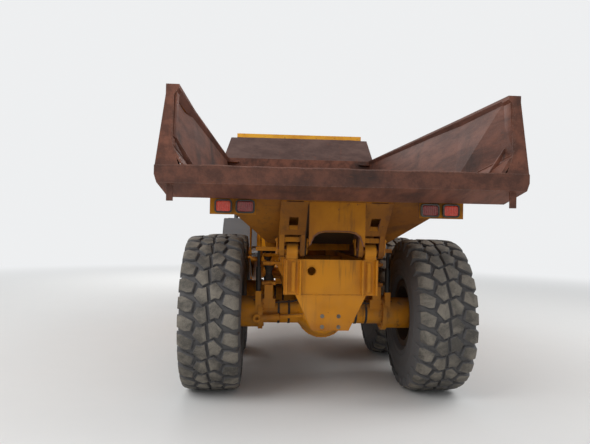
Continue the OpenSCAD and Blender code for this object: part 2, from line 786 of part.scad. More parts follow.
// Rear frame
frame_end_y = hinge_y + 60;
rail_low = frame_top - rail_h;
rail_in = rail_x - rail_w / 2;
rail_out = rail_x + rail_w / 2;
bogie_y = (mid_axle_y + rear_axle_y) / 2;
rear_plate_t = 60;
rear_plate_half = 450;
lug_half = 53;
beam_x = 580;
spring_z0 = 1136;
spring_z1 = 1320;
damper_x = 690;
damper_y = rear_axle_y + 130;
damper_z0 = axle_z + 235;
damper_z1 = 1470;
shaft_d = 90;
// round lightening hole in the rear plate: place, height and diameter
plate_hole = [186, 1310, 84];
// bolt holes of the towing plate: half spacing across, two heights, diameter
tow_hole_x = 78;
tow_hole_z = [784, 885];
tow_hole_d = 24;
tow_top_half = 340;
tow_low_half = 175;
tow_t = 30;

// Lug of the body's hinge on the end of a rail
module hinge_lug() {
    side_profile(rail_x - lug_half, rail_x + lug_half, [
        [hinge_y - 250, frame_top - 20], [hinge_y - 95, hinge_z + 10], [hinge_y, hinge_z + 70],
        [frame_end_y, hinge_z + 10], [frame_end_y, frame_top - 20]]);
    x_cylinder(rail_x - lug_half, rail_x + lug_half, hinge_y, hinge_z, 150);
}

// Bracket below the rail with the trunnion pin of a hoist cylinder
module hoist_bracket() {
    side_profile(rail_in, rail_out, [
        [hoist_base_y - 190, 930], [hoist_base_y + 190, 1010], [hoist_base_y + 80, 665], [hoist_base_y - 80, 665]]);
    x_cylinder(rail_x, hoist_x - hoist_slot, hoist_base_y, hoist_base_z, 150);
    x_cylinder(rail_x, hoist_x + hoist_slot + 12, hoist_base_y, hoist_base_z, hoist_pin_d);
    x_cylinder(hoist_x + hoist_slot, hoist_x + hoist_slot + 17, hoist_base_y, hoist_base_z, hoist_pin_d + 40);
}

// Outrigger that takes a rubber spring's top
module spring_bracket(y) {
    block(rail_out - 5, beam_x + 72, y - 75, y + 75, spring_z1, spring_z1 + 30);
    for (dy = [-60, 40]) rear_profile(y + dy, y + dy + 20, [
        [rail_out - 5, spring_z1 - 150], [beam_x - 75, spring_z1 + 5], [rail_out - 5, spring_z1 + 5]]);
}

// Arm that stands out from the rail over the damper's upper end
module damper_bracket() {
    block(rail_out - 5, rail_out + 35, damper_y - 30, damper_y + 30, frame_top - 100, frame_top - 15);
    block(rail_out + 5, rail_out + 35, damper_y - 30, damper_y + 30, frame_top - 100, damper_z1 + 40);
    block(rail_out + 5, damper_x + 35, damper_y - 30, damper_y + 30, damper_z1, damper_z1 + 40);
}

// Closing plate across the rail ends, with the tapered towing plate below it
module rear_box() {
    block(-rear_plate_half, rear_plate_half, frame_end_y - rear_plate_t, frame_end_y, rail_low, frame_top);
    block(-rail_x, rail_x, frame_end_y - 320, frame_end_y, rail_low, rail_low + 30);
    rear_profile(frame_end_y - tow_t, frame_end_y, [
        [-tow_top_half, rail_low + 5], [-tow_low_half, tow_plate_low],
        [tow_low_half, tow_plate_low], [tow_top_half, rail_low + 5]]);
    both_sides() {
        for (x = [rail_in - 32, rail_out - 12])
            block(x, x + 14, frame_end_y - 5, frame_end_y + 50, rail_low + 4, frame_top - 6);
        // web that braces the towing plate
        side_profile(tow_low_half - 35, tow_low_half - 15, [
            [frame_end_y - 20, rail_low + 5], [frame_end_y - 320, rail_low + 5],
            [frame_end_y - 320, rail_low - 30], [frame_end_y - 20, tow_plate_low + 10]]);
    }
}

module rear_frame() {
    color(yellow) difference() {
        union() {
            both_sides() {
                // rail, dropping to the head at the front
                side_profile(rail_in, rail_out, [
                    [head_y1 - 160, 870], [hoist_base_y - 130, 900], [hoist_base_y + 620, rail_low],
                    [frame_end_y, rail_low], [frame_end_y, frame_top], [head_y1 + 500, frame_top],
                    [head_y1 - 160, 1190]]);
                hinge_lug();
                hoist_bracket();
                for (y = [mid_axle_y, rear_axle_y]) spring_bracket(y);
                damper_bracket();
            }
            // head with the bearing of the roll axis
            block(-rail_in - 10, rail_in + 10, head_y1 - 160, head_y1, 870, 1190);
            y_cylinder(head_y0, head_y1, 0, roll_z, spigot_d + 120);
            // cross plate with the bearing of the front driveshaft
            block(-rail_in - 10, rail_in + 10, head_y1 + 130, head_y1 + 180, axle_z - 80, 1000);
            // cross members
            for (y = [hoist_base_y + 700, bogie_y])
                block(-rail_x, rail_x, y - 70, y + 70, rail_low + 30, frame_top - 40);
            rear_box();
        }
        y_cylinder(head_y0 - 5, head_y1 + 5, 0, roll_z, spigot_d + 2 * pin_gap);
        y_cylinder(head_y1 + 125, head_y1 + 185, 0, axle_z, shaft_d + 2 * seat);
        both_sides() x_cylinder(rail_x - lug_half - 5, rail_x + lug_half + 5, hinge_y, hinge_z,
            hinge_pin_d + 2 * pin_gap);
        y_cylinder(frame_end_y - rear_plate_t - 20, frame_end_y + 10, plate_hole[0], plate_hole[1], plate_hole[2]);
        for (x = [-tow_hole_x, tow_hole_x], z = tow_hole_z)
            y_cylinder(frame_end_y - tow_t - 10, frame_end_y + 10, x, z, tow_hole_d);
    }
}

module rear_axles() {
    color(yellow) {
        union() {
            axle(mid_axle_y, beam_x);
            y_cylinder(mid_axle_y, mid_axle_y + stub_len, 0, axle_z, 130);
        }
        union() {
            axle(rear_axle_y, beam_x);
            // posts under the dampers
            both_sides() block(damper_x - 30, damper_x + 30, damper_y - 30, damper_y + 30, axle_z, damper_z0);
        }
    }
}

// Walking beams on both sides, pivoted on the frame between the axles
module bogie_beams() {
    pivot_z = rail_low + 70;
    beam_top = spring_z0 - 30;
    color(yellow) both_sides() {
        side_profile(beam_x - 45, beam_x + 45, [
            [mid_axle_y - 120, pad_top], [mid_axle_y + 120, pad_top],
            [bogie_y - 200, pad_top - 70], [bogie_y + 200, pad_top - 70],
            [rear_axle_y - 120, pad_top], [rear_axle_y + 120, pad_top], [rear_axle_y + 120, beam_top],
            [bogie_y + 260, beam_top], [bogie_y + 120, pivot_z + 110], [bogie_y - 120, pivot_z + 110],
            [bogie_y - 260, beam_top], [mid_axle_y - 120, beam_top]]);
        for (y = [mid_axle_y, rear_axle_y])
            block(beam_x - pad_half, beam_x + pad_half, y - 80, y + 80, beam_top - 5, spring_z0);
        x_cylinder(rail_out, beam_x + 60, bogie_y, pivot_z, 140);
    }
}

// Waisted rubber blocks between the beams and the frame's outriggers
module rubber_springs() {
    h = spring_z1 - spring_z0;
    color(rubber) both_sides() for (y = [mid_axle_y, rear_axle_y])
        translate([beam_x, y, spring_z0]) rotate_extrude() polygon([
            [0, 0], [56, 0], [56, 30], [36, h / 2 - 20], [36, h / 2 + 20], [54, h - 30], [54, h], [0, h]]);
}

module dampers() {
    color(dark) both_sides() {
        z_cylinder(damper_z0, damper_z0 + 255, damper_x, damper_y, 56);
        z_cylinder(damper_z0 + 250, damper_z1, damper_x, damper_y, 34);
    }
}

module driveshafts() {
    // columns: front end, rear end
    spans = [
        [head_y2 + hitch_disc_t + 15, mid_axle_y - nose_len],
        [mid_axle_y + stub_len, rear_axle_y - nose_len]
    ];
    color(dark) for (s = spans) union() {
        y_cylinder(s[0], s[1], 0, axle_z, shaft_d);
        for (y = [s[0], s[1] - 30]) y_cylinder(y, y + 30, 0, axle_z, 150);
    }
}

// Dump body
body_front = pivot_y + 230;
knee_y = rear_axle_y + 350;
tail_slope = (lip_z - body_plate - floor_z) / (tail_y - knee_y);

// outer edge of a rear post at its foot and at its head
post_foot = 1518;
post_head = post_foot - 90;

// Half sections of the body's skin: floor x and z, chine x and z, top x and z
front_row = [600, floor_z, 1250, 2120, 1390, 3030];
knee_row = [600, floor_z, 1330, 2180, 1420, 2880];
tail_row = [post_foot - 228, lip_z - body_plate, post_foot - 118, 2330, post_foot - 123, 2830];

// The section at any place along the body
function blend_rows(a, b, t) = a + (b - a) * t;
function row_at(y) = y < knee_y
    ? blend_rows(front_row, knee_row, (y - body_front) / (knee_y - body_front))
    : blend_rows(knee_row, tail_row, (y - knee_y) / (tail_y - knee_y));

// Height of the skin's underside at a place
function skin_z(x, y) = let (r = row_at(y))
    x < r[0] ? r[1] : r[1] + (r[3] - r[1]) * (x - r[0]) / (r[2] - r[0]);

// Outer ring of the skin at a place, and the ring inside it that is one plate smaller
function outer_ring(y) = let (r = row_at(y))
    [[-r[0], y, r[1]], [r[0], y, r[1]], [r[2], y, r[3]], [r[4], y, r[5]], [-r[4], y, r[5]], [-r[2], y, r[3]]];

function left_normal(a, b) = let (d = (b - a) / norm(b - a)) [-d[1], d[0]];
function mitre(a, b, c, t) = let (m = left_normal(a, b), n = left_normal(b, c)) b + (m + n) * t / (1 + m * n);

function inner_ring(y) = let (
        r = row_at(y),
        mid = [0, r[1]], f = [r[0], r[1]], c = [r[2], r[3]], t = [r[4], r[5]],
        fi = mitre(mid, f, c, body_plate), ci = mitre(f, c, t, body_plate),
        ti = t + left_normal(c, t) * body_plate + (t - c) * 0.2)
    [[-fi[0], y, fi[1]], [fi[0], y, fi[1]], [ci[0], y, ci[1]], [ti[0], y, ti[1]], [-ti[0], y, ti[1]], [-ci[0], y, ci[1]]];

// Box rail along the top of a side
function rail_ring(y) = let (r = row_at(y), x = r[4], z = r[5])
    [[x - 60, y, z - 20], [x - 22, y, z - top_rail], [x + 45, y, z - top_rail], [x + 45, y, z + step], [x - 60, y, z + step]];

// small step between the skin and the pieces welded to it
step = 2;
rib_stations = [for (k = [0 : 5]) body_front + 620 + k * 760];
bolster_stations = [for (k = [0 : 3]) body_front + 500 + k * 1180];
ear_in = rail_x - 125;
ear_out = rail_x + 125;
ear_t = 50;
ear_r = 66;
sill_half = 45;
lamp_y = tail_y - 390;
lamp_low = lip_z - 358;
lamp_high = lip_z - 242;
// inner and outer edge of each tail lamp
tail_lamp_spans = [[728, 893], [923, 1073]];

module body_skin() {
    difference() {
        loft([outer_ring(body_front), outer_ring(knee_y), outer_ring(tail_y - step)]);
        loft([inner_ring(body_front + body_plate), inner_ring(knee_y), inner_ring(tail_y + 60)]);
    }
}

// Upright rib on a side, from the chine to the top rail
module side_rib(y) {
    r = row_at(y);
    rear_profile(y - 55, y + 55, [
        [r[2] - 12, r[3] - 20], [r[2] + 40, r[3] + 50],
        [r[4] + 44, r[5] - top_rail + 4], [r[4] - 8, r[5] - top_rail + 4]]);
}

// Tail beam under the lip, its underside rising from the floor to the face
module tail_beam() {
    root = 375;
    root_z = lip_z - root * tail_slope;
    intersection() {
        side_profile(-post_foot, post_foot, [
            [tail_y, lip_z - step], [tail_y - root, root_z - body_plate / 2],
            [tail_y - root + 20, root_z - 45], [tail_y, lip_z - lip_face]]);
        rear_profile(tail_y - 400, tail_y + 1, [
            [-post_foot, lip_z + 5], [-post_foot, lip_z - 75], [-post_foot + 60, lip_z - 260],
            [post_foot - 60, lip_z - 260], [post_foot, lip_z - 75], [post_foot, lip_z + 5]]);
    }
}

// Rear post of a side, standing on the end of the tail beam
module rear_post() {
    r = tail_row;
    rear_profile(tail_y - 130, tail_y, [
        [r[0] + 30, lip_z - 30], [post_foot, lip_z - 40], [post_head, r[5]], [r[4] - 60, r[5]],
        [r[4] - 60, r[5] - 30], [r[4] - 12, r[5] - 90], [r[2] - 12, r[3] + 60]]);
}

// Twin ears around a rail's hinge lug, and the box behind them that stiffens the sloping floor
module hinge_box() {
    rear_y = tail_y - 420;
    ear = [
        [hinge_y - 170, skin_z(0, hinge_y - 170) + 10], [hinge_y - 95, hinge_z + 60], [hinge_y - ear_r, hinge_z],
        [hinge_y - 46, hinge_z - 46], [hinge_y, hinge_z - ear_r], [hinge_y + 46, hinge_z - 46],
        [hinge_y + ear_r, hinge_z], [hinge_y + 120, hinge_z + 150], [rear_y, skin_z(0, rear_y) - 10],
        [rear_y, skin_z(0, rear_y) + 10]];
    for (x = [ear_in, ear_out - ear_t]) side_profile(x, x + ear_t, ear);
    x_cylinder(ear_in - 12, ear_out + 12, hinge_y, hinge_z, hinge_pin_d);
    // closing plate with a square hole, and a bar across the ears
    difference() {
        side_profile(ear_in, ear_out, [
            [hinge_y + 120, hinge_z + 150], [rear_y, skin_z(0, rear_y) - 10],
            [rear_y - 30, skin_z(0, rear_y) + 5], [hinge_y + 90, hinge_z + 165]]);
        block(rail_x - 42, rail_x + 42, hinge_y + 170, hinge_y + 290, hinge_z + 150, hinge_z + 400);
    }
    block(ear_in, ear_out, hinge_y + 72, hinge_y + 92, hinge_z + 84, hinge_z + 130);
}

// Inner and outer ear of a hoist cylinder, hung from the sloping side of the floor
module hoist_ears() {
    for (x = [hoist_x - hoist_slot - 20, hoist_x + hoist_slot]) {
        top = skin_z(x + 2, hoist_eye_y) + 16;
        side_profile(x, x + 20, [
            [hoist_eye_y - 180, top], [hoist_eye_y - 55, hoist_eye_z - 35], [hoist_eye_y, hoist_eye_z - 60],
            [hoist_eye_y + 55, hoist_eye_z - 35], [hoist_eye_y + 120, top]]);
    }
    for (x = [hoist_x - hoist_slot - 32, hoist_x + hoist_slot + 19])
        x_cylinder(x, x + 13, hoist_eye_y, hoist_eye_z, hoist_pin_d + 20);
}

module dump_body() {
    color(worn) union() {
        body_skin();
        tail_beam();
        for (y = bolster_stations)
            block(-front_row[0] - 20, front_row[0] + 20, y - 50, y + 50, floor_z - 85, floor_z + 8);
        both_sides() {
            loft([rail_ring(body_front + step), rail_ring(knee_y), rail_ring(tail_y - 10)]);
            for (y = rib_stations) side_rib(y);
            rear_post();
            // sill over the frame rail
            block(rail_x - sill_half, rail_x + sill_half, body_front + 60, hinge_y - 290,
                frame_top + run_gap, floor_z + 8);
            hinge_box();
            hoist_ears();
            // lamp bracket, and a hook at the tail beam's corner
            block(715, 1115, lamp_y - 12, lamp_y, lamp_low - 12, lip_z - 205);
            block(post_foot - 143, post_foot - 93, tail_y - 60, tail_y - 35, lip_z - 280, lip_z - 130);
        }
    }
}

module tail_lamps() {
    color("darkred") both_sides() for (s = tail_lamp_spans)
        block(s[0], s[1], lamp_y, lamp_y + 40, lamp_low, lamp_high);
}

// Plate on top of the body's front wall, with a narrower lip that leans towards the cab
module spill_guard() {
    bend_z = guard_top - 80;
    lip_half = 1180;
    half = front_row[4];
    wall_z = front_row[5];
    color(yellow) union() {
        rear_profile(body_front - 20, body_front, [
            [-half, wall_z - 90], [half, wall_z - 90], [half + 35, wall_z], [half - 100, bend_z],
            [100 - half, bend_z], [-half - 35, wall_z]]);
        side_profile(-lip_half, lip_half, [
            [body_front, bend_z - 10], [body_front, guard_top],
            [body_front - 40, guard_top], [body_front - 20, bend_z - 10]]);
    }
}

// Drawing
front_frame();
front_bumper();
headlamps();
front_axle();
engine();
radiator();
hood();
hood_grille();
fenders();
mudflaps();
platform();
cab_shell();
cab_glass();
cab_door();
cab_door_glass();
driver_seat();
dash_console();
exhaust_stack();
air_cleaner();
mirrors();
ladder();
fuel_tank();
hitch();
steer_barrel();  // steer_barrel_left
mirror([1, 0, 0]) steer_barrel();  // steer_barrel_right
steer_rod();  // steer_rod_left
mirror([1, 0, 0]) steer_rod();  // steer_rod_right
rear_frame();
rear_axles();
bogie_beams();
rubber_springs();
dampers();
driveshafts();
hoist_barrel();  // hoist_barrel_left
mirror([1, 0, 0]) hoist_barrel();  // hoist_barrel_right
hoist_rod();  // hoist_rod_left
mirror([1, 0, 0]) hoist_rod();  // hoist_rod_right
dump_body();
spill_guard();
tail_lamps();
tyre(1, front_axle_y);  // tyre_front_left
tyre(-1, front_axle_y);  // tyre_front_right
tyre(1, mid_axle_y);  // tyre_mid_left
tyre(-1, mid_axle_y);  // tyre_mid_right
tyre(1, rear_axle_y);  // tyre_rear_left
tyre(-1, rear_axle_y);  // tyre_rear_right
rim(1, front_axle_y);  // rim_front_left
rim(-1, front_axle_y);  // rim_front_right
rim(1, mid_axle_y);  // rim_mid_left
rim(-1, mid_axle_y);  // rim_mid_right
rim(1, rear_axle_y);  // rim_rear_left
rim(-1, rear_axle_y);  // rim_rear_right
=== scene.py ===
"""Looks of a six-wheel articulated dump truck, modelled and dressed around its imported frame."""
import logging
import math
from collections.abc import Callable, Iterable, Sequence
from dataclasses import dataclass
from enum import Enum

import bmesh
import bpy
from mathutils import Matrix, Vector


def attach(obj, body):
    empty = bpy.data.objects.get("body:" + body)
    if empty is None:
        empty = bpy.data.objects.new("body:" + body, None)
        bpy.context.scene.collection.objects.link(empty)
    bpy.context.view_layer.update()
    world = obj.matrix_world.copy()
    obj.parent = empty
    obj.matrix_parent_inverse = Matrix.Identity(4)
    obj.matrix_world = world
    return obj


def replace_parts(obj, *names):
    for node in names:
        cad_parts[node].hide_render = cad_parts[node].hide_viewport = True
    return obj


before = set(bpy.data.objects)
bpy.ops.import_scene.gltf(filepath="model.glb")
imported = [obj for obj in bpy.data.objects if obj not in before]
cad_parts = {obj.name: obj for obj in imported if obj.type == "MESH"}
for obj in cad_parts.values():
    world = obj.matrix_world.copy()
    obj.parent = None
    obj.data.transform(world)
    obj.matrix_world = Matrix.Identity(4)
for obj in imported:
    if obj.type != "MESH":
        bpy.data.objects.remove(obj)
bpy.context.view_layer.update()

LOG = logging.getLogger("dump_truck")

Colour = tuple[float, float, float]
Point = tuple[float, float, float]
Piece = bpy.types.Object
FaceTest = Callable[[Vector, Vector], bool]


def tone(red: int, green: int, blue: int) -> Colour:
    """Turn a colour as seen on a screen into the linear one that a shader takes.

    Args:
        red: Red from 0 to 255.
        green: Green from 0 to 255.
        blue: Blue from 0 to 255.

    Returns:
        The three linear parts.
    """
    parts = [c / 255 for c in (red, green, blue)]
    return tuple(p / 12.92 if p < 0.04045 else ((p + 0.055) / 1.055) ** 2.4 for p in parts)


SUN_YELLOW = tone(205, 132, 6)
DEEP_YELLOW = tone(160, 96, 5)
DUST = tone(138, 114, 84)
GRIME = tone(62, 48, 34)
RUST = tone(104, 58, 34)


# Shader kit


class Value:
    """A number, colour or vector that changes over a surface, carried by one output of a node."""

    def __init__(self, kit: "Shader", socket: bpy.types.NodeSocket) -> None:
        """Keep the node tree's kit and the output."""
        self.kit = kit
        self.socket = socket

    def _math(self, operation: str, *inputs: "float | Value", clamp: bool = False) -> "Value":
        """Add a Math node.

        Args:
            operation: The node's operation.
            inputs: Its values in order.
            clamp: Whether the result is held between 0 and 1.

        Returns:
            The node's result.
        """
        return self.kit.node("ShaderNodeMath", {"operation": operation, "use_clamp": clamp}, dict(enumerate(inputs)))

    def __add__(self, other: "float | Value") -> "Value":
        """Return the sum."""
        return self._math("ADD", self, other)

    def __sub__(self, other: "float | Value") -> "Value":
        """Return the difference."""
        return self._math("SUBTRACT", self, other)

    def __rsub__(self, other: float) -> "Value":
        """Return a plain number less this value."""
        return self._math("SUBTRACT", other, self)

    def __mul__(self, other: "float | Value") -> "Value":
        """Return the product."""
        return self._math("MULTIPLY", self, other)

    __radd__, __rmul__ = __add__, __mul__

    def held(self) -> "Value":
        """Return this value held between 0 and 1."""
        return self._math("ADD", self, 0.0, clamp=True)

    def most(self, other: "float | Value") -> "Value":
        """Return the greater of two values."""
        return self._math("MAXIMUM", self, other)

    def between(self, low: float, high: float) -> "Value":
        """Return a soft step that rises from 0 at low to 1 at high; it falls where low is the greater."""
        return self.kit.node("ShaderNodeMapRange", {"interpolation_type": "SMOOTHSTEP"},
                             {"Value": self, "From Min": low, "From Max": high})


class Shader:
    """The node tree of one material, with every node added by one method."""

    def __init__(self, name: str, world: bool = False) -> None:
        """Start a material, or a world, of that name with an empty tree."""
        self.material = (bpy.data.worlds if world else bpy.data.materials).new(name)
        self.end = "ShaderNodeOutputWorld" if world else "ShaderNodeOutputMaterial"
        self.material.use_nodes = True
        self.tree = self.material.node_tree
        self.tree.nodes.clear()

    def node(self, kind: str, settings: dict | None = None, sockets: dict | None = None, out: int | str = 0) -> Value:
        """Add a node.

        Args:
            kind: The node's type.
            settings: Its own settings.
            sockets: Values, or links, of its inputs by name or number.
            out: The output that is returned.

        Returns:
            The chosen output.
        """
        made = self.tree.nodes.new(kind)
        for key, value in (settings or {}).items():
            setattr(made, key, value)
        for key, value in (sockets or {}).items():
            socket = made.inputs[key]
            if isinstance(value, Value):
                self.tree.links.new(value.socket, socket)
            elif socket.type == "RGBA" and len(value) == 3:
                socket.default_value = (*value, 1.0)
            else:
                socket.default_value = value
        return Value(self, made.outputs[out])

    def place(self, stretch: Point = (1.0, 1.0, 1.0)) -> Value:
        """Return the point on the object in metres, stretched for a pattern."""
        spot = self.node("ShaderNodeTexCoord", out="Object")
        if stretch == (1.0, 1.0, 1.0):
            return spot
        return self.node("ShaderNodeMapping", {}, {"Vector": spot, "Scale": stretch})

    def parts(self, vector: Value) -> list[Value]:
        """Return a vector's three parts."""
        split = self.node("ShaderNodeSeparateXYZ", {}, {0: vector}).socket.node
        return [Value(self, split.outputs[k]) for k in range(3)]

    def facing(self) -> list[Value]:
        """Return the three parts of the surface's direction, in the object's own frame."""
        return self.parts(self.node("ShaderNodeTexCoord", out="Normal"))

    def noise(self, scale: float, detail: float = 4.0, rough: float = 0.6, stretch: Point = (1.0, 1.0, 1.0),
              warp: float = 0.0) -> Value:
        """Return a cloudy pattern.

        Args:
            scale: Its blotches to a metre.
            detail: How many finer layers it has.
            rough: How strong those are.
            stretch: How it is stretched along the three directions.
            warp: How far it is distorted.

        Returns:
            A value about 0.5.
        """
        return self.node("ShaderNodeTexNoise", {}, {"Vector": self.place(stretch), "Scale": scale, "Detail": detail,
                                                    "Roughness": rough, "Distortion": warp})

    def mix(self, factor: "float | Value", first: "Colour | Value", second: "Colour | Value") -> Value:
        """Return a colour between two others."""
        return self.node("ShaderNodeMix", {"data_type": "RGBA"}, {0: factor, 6: first, 7: second}, out=2)

    def edges(self, radius: float) -> Value:
        """Return a mask of the edges, as wide as a radius in metres."""
        soft = self.node("ShaderNodeBevel", {"samples": 4}, {"Radius": radius})
        flat = self.node("ShaderNodeNewGeometry", out="Normal")
        same = self.node("ShaderNodeVectorMath", {"operation": "DOT_PRODUCT"}, {0: soft, 1: flat}, out="Value")
        return same.between(0.995, 0.86)

    def bump(self, height: Value, depth: float, strength: float = 1.0) -> Value:
        """Return a direction that follows a height pattern, whose full range is a depth in metres."""
        return self.node("ShaderNodeBump", {}, {"Height": height, "Distance": depth, "Strength": strength})

    def finish(self, sockets: dict, constants: dict | None = None) -> bpy.types.Material:
        """End the tree in a Principled shader.

        Args:
            sockets: What the shader's inputs get.
            constants: Further inputs that are the same all over.

        Returns:
            The finished material.
        """
        surface = self.node("ShaderNodeBsdfPrincipled", {}, {**sockets, **(constants or {})})
        self.node_end(surface)
        return self.material

    def node_end(self, surface: Value) -> None:
        """Link a shader to the output."""
        end = self.tree.nodes.new(self.end)
        self.tree.links.new(surface.socket, end.inputs["Surface"])


# Finishes


@dataclass(frozen=True)
class WornPaint:
    """Sprayed paint that has faded, chipped at its edges and taken up dust and grime."""

    name: str
    colour: Colour
    deep: Colour
    dust: float = 0.5
    chips: float = 0.5
    grime: float = 0.5
    gloss: float = 0.42

    def make(self) -> bpy.types.Material:
        """Return the material."""
        kit = Shader(self.name)
        up = kit.facing()[2]
        height = kit.parts(kit.place())[2]
        clouds = kit.noise(1.6, 3.0, 0.55)
        fine = kit.noise(34.0, 5.0, 0.65)
        base = kit.mix(clouds.between(0.36, 0.68), self.colour, self.deep)
        streaks = kit.noise(2.2, 5.0, 0.62, stretch=(7.0, 7.0, 0.55)).between(0.54, 0.72)
        grime = (streaks * kit.noise(1.1, 2.0).between(0.42, 0.62) * self.grime).held()
        stained = kit.mix(grime, base, GRIME)
        settled = (up.between(0.25, 0.95) * kit.noise(5.0, 4.0).between(0.3, 0.62)
                   + height.between(1.5, 0.4) * kit.noise(3.1, 4.0, warp=0.6).between(0.42, 0.66) * 0.75)
        dust = (settled * self.dust).held()
        dusty = kit.mix(dust, stained, DUST)
        rim = kit.edges(0.006) * fine.between(0.42, 0.6)
        spots = kit.noise(16.0, 6.0, 0.72).between(0.66, 0.7)
        chips = ((rim + spots) * self.chips).held()
        colour = kit.mix(chips, dusty, kit.mix(fine, RUST, GRIME))
        roughness = (self.gloss + 0.34 * dust + 0.2 * grime + 0.3 * chips + 0.1 * fine).held()
        relief = kit.bump(fine * 0.25 - chips * 0.8 + kit.noise(140.0, 2.0) * 0.12, 0.0012, 0.6)
        return kit.finish({"Base Color": colour, "Roughness": roughness, "Normal": relief},
                          {"Specular IOR Level": 0.32})


@dataclass(frozen=True)
class HaulBodySteel:
    """Yellow paint outside, and inside a skin that stone has scraped to brown steel."""

    name: str = "haul_body_steel"
    light: Colour = tone(122, 76, 59)
    middle: Colour = tone(86, 53, 42)
    dark: Colour = tone(44, 33, 30)
    orange: Colour = tone(128, 72, 44)

    def make(self) -> bpy.types.Material:
        """Return the material, which tells inside from outside by place and direction."""
        kit = Shader(self.name)
        nx, ny, nz = kit.facing()
        x, y, z = kit.parts(kit.place())
        side = x.between(-0.02, 0.02) * 2.0 - 1.0
        inward = (nx * side).between(-0.1, -0.3)
        floor = nz.between(0.15, 0.35)
        front_wall = ny.between(0.4, 0.7) * y.between(-0.8, -0.9)
        lip = y.between(4.464, 4.47)
        worn_in = kit.noise(2.4, 5.0, 0.6) * 0.5 - 0.25
        posts = (y + worn_in).between(4.5, 4.75) * z.between(2.0, 2.2)
        top = (z + worn_in * 0.2).between(2.74, 2.86) * floor
        scraped = inward.most(floor).most(front_wall).most(lip).most(posts).most(top)
        clouds = kit.noise(1.3, 5.0, 0.6)
        slide = kit.noise(3.0, 6.0, 0.7, stretch=(2.4, 0.35, 2.4))
        hatch = kit.noise(9.0, 5.0, 0.75, stretch=(1.6, 0.6, 5.0), warp=0.3)
        grit = kit.noise(60.0, 5.0, 0.7)
        steel = kit.mix(slide.between(0.36, 0.66), self.middle, self.light)
        steel = kit.mix(clouds.between(0.5, 0.72) * 0.85, steel, self.dark)
        steel = kit.mix(hatch.between(0.56, 0.72) * 0.45, steel, self.orange)
        steel = kit.mix(grit.between(0.5, 0.8) * 0.3, steel, self.light)
        paint = kit.mix(clouds.between(0.35, 0.7), SUN_YELLOW, DEEP_YELLOW)
        streaks = kit.noise(2.0, 5.0, 0.65, stretch=(6.0, 6.0, 0.6)).between(0.5, 0.7)
        worn_and_shaded_paint = kit.mix((streaks * 0.55 + kit.noise(2.7, 4.0, warp=0.5).between(0.5, 0.7) * 0.5).held(), paint, GRIME)
        rim = (kit.edges(0.01) * grit.between(0.35, 0.55) + kit.noise(11.0, 6.0, 0.72).between(0.62, 0.67)).held()
        worn_and_shaded_paint = kit.mix(rim * 0.9, worn_and_shaded_paint, RUST)
        # Painted shade: the low tail region, and most of all its downward faces, is darkened to a muddy brown. Part
        # of this is mud and part is the shade under the body painted into the colour.
        low = z.between(2.19, 2.12) * y.between(3.2, 3.6)
        mud_and_shade_below = (low * 0.3 + low * nz.between(-0.15, -0.5) * 0.4).held()
        worn_and_shaded_paint = kit.mix(mud_and_shade_below, worn_and_shaded_paint, tone(84, 47, 16))
        # Painted shadow: the floor's underside behind the arch plate, between the hinge boxes, is painted near black.
        painted_arch_shadow = low * y.between(4.412, 4.408) * x.between(-0.262, -0.256) * x.between(0.262, 0.256)
        worn_and_shaded_paint = kit.mix(painted_arch_shadow * 0.85, worn_and_shaded_paint, tone(28, 21, 15))
        # Painted shade: the lower part of the lip's rear-facing faces is darkened.
        steel = kit.mix(lip * ny.between(0.5, 0.8) * z.between(2.25, 2.2) * 0.3, steel, self.dark)
        colour = kit.mix(scraped, worn_and_shaded_paint, steel)
        bare = scraped * kit.edges(0.008) * grit.between(0.4, 0.62) * 0.5
        colour = kit.mix(bare, colour, tone(150, 130, 118))
        roughness = (0.6 + 0.25 * grit - 0.1 * slide * scraped).held()
        height = slide * 0.5 + hatch * 0.35 + grit * 0.2 + clouds * 1.6
        relief = kit.bump(height * scraped + grit * 0.15, 0.006, 0.55)
        return kit.finish({"Base Color": colour, "Roughness": roughness, "Normal": relief,
                           "Metallic": scraped * slide.between(0.5, 0.7) * 0.12}, {"Specular IOR Level": 0.3})


@dataclass(frozen=True)
class GuardPlate:
    """The spill guard's plate: scraped brown behind the load, and yellow along its bent top edge and in front."""

    name: str = "spill_guard_plate"
    edge: float = 3.425

    def make(self) -> bpy.types.Material:
        """Return the material, which changes at a height and with the side that a face looks to."""
        kit = Shader(self.name)
        toward = kit.facing()[1]
        z = kit.parts(kit.place())[2]
        ragged = kit.noise(5.0, 5.0, 0.65, stretch=(1.0, 1.0, 0.4)) * 0.02 - 0.01
        yellow = (z + ragged).between(self.edge, self.edge + 0.006).most(toward.between(0.3, -0.3))
        slide = kit.noise(3.0, 6.0, 0.7, stretch=(0.7, 1.0, 2.0))
        grit = kit.noise(60.0, 5.0, 0.7)
        steel = kit.mix(slide.between(0.36, 0.66), tone(84, 60, 54), tone(108, 82, 74))
        steel = kit.mix(kit.noise(7.0, 5.0, 0.7).between(0.56, 0.7) * 0.4, steel, tone(128, 72, 44))
        paint = kit.mix(kit.noise(2.2, 4.0).between(0.35, 0.7), tone(236, 170, 30), SUN_YELLOW)
        chips = kit.noise(17.0, 6.0, 0.72).between(0.6, 0.66)
        paint = kit.mix(chips * 0.9, paint, RUST)
        colour = kit.mix(yellow, steel, paint)
        return kit.finish({"Base Color": colour, "Roughness": (0.5 + 0.25 * grit).held(),
                           "Normal": kit.bump(grit * 0.3 + slide, 0.003, 0.5)})


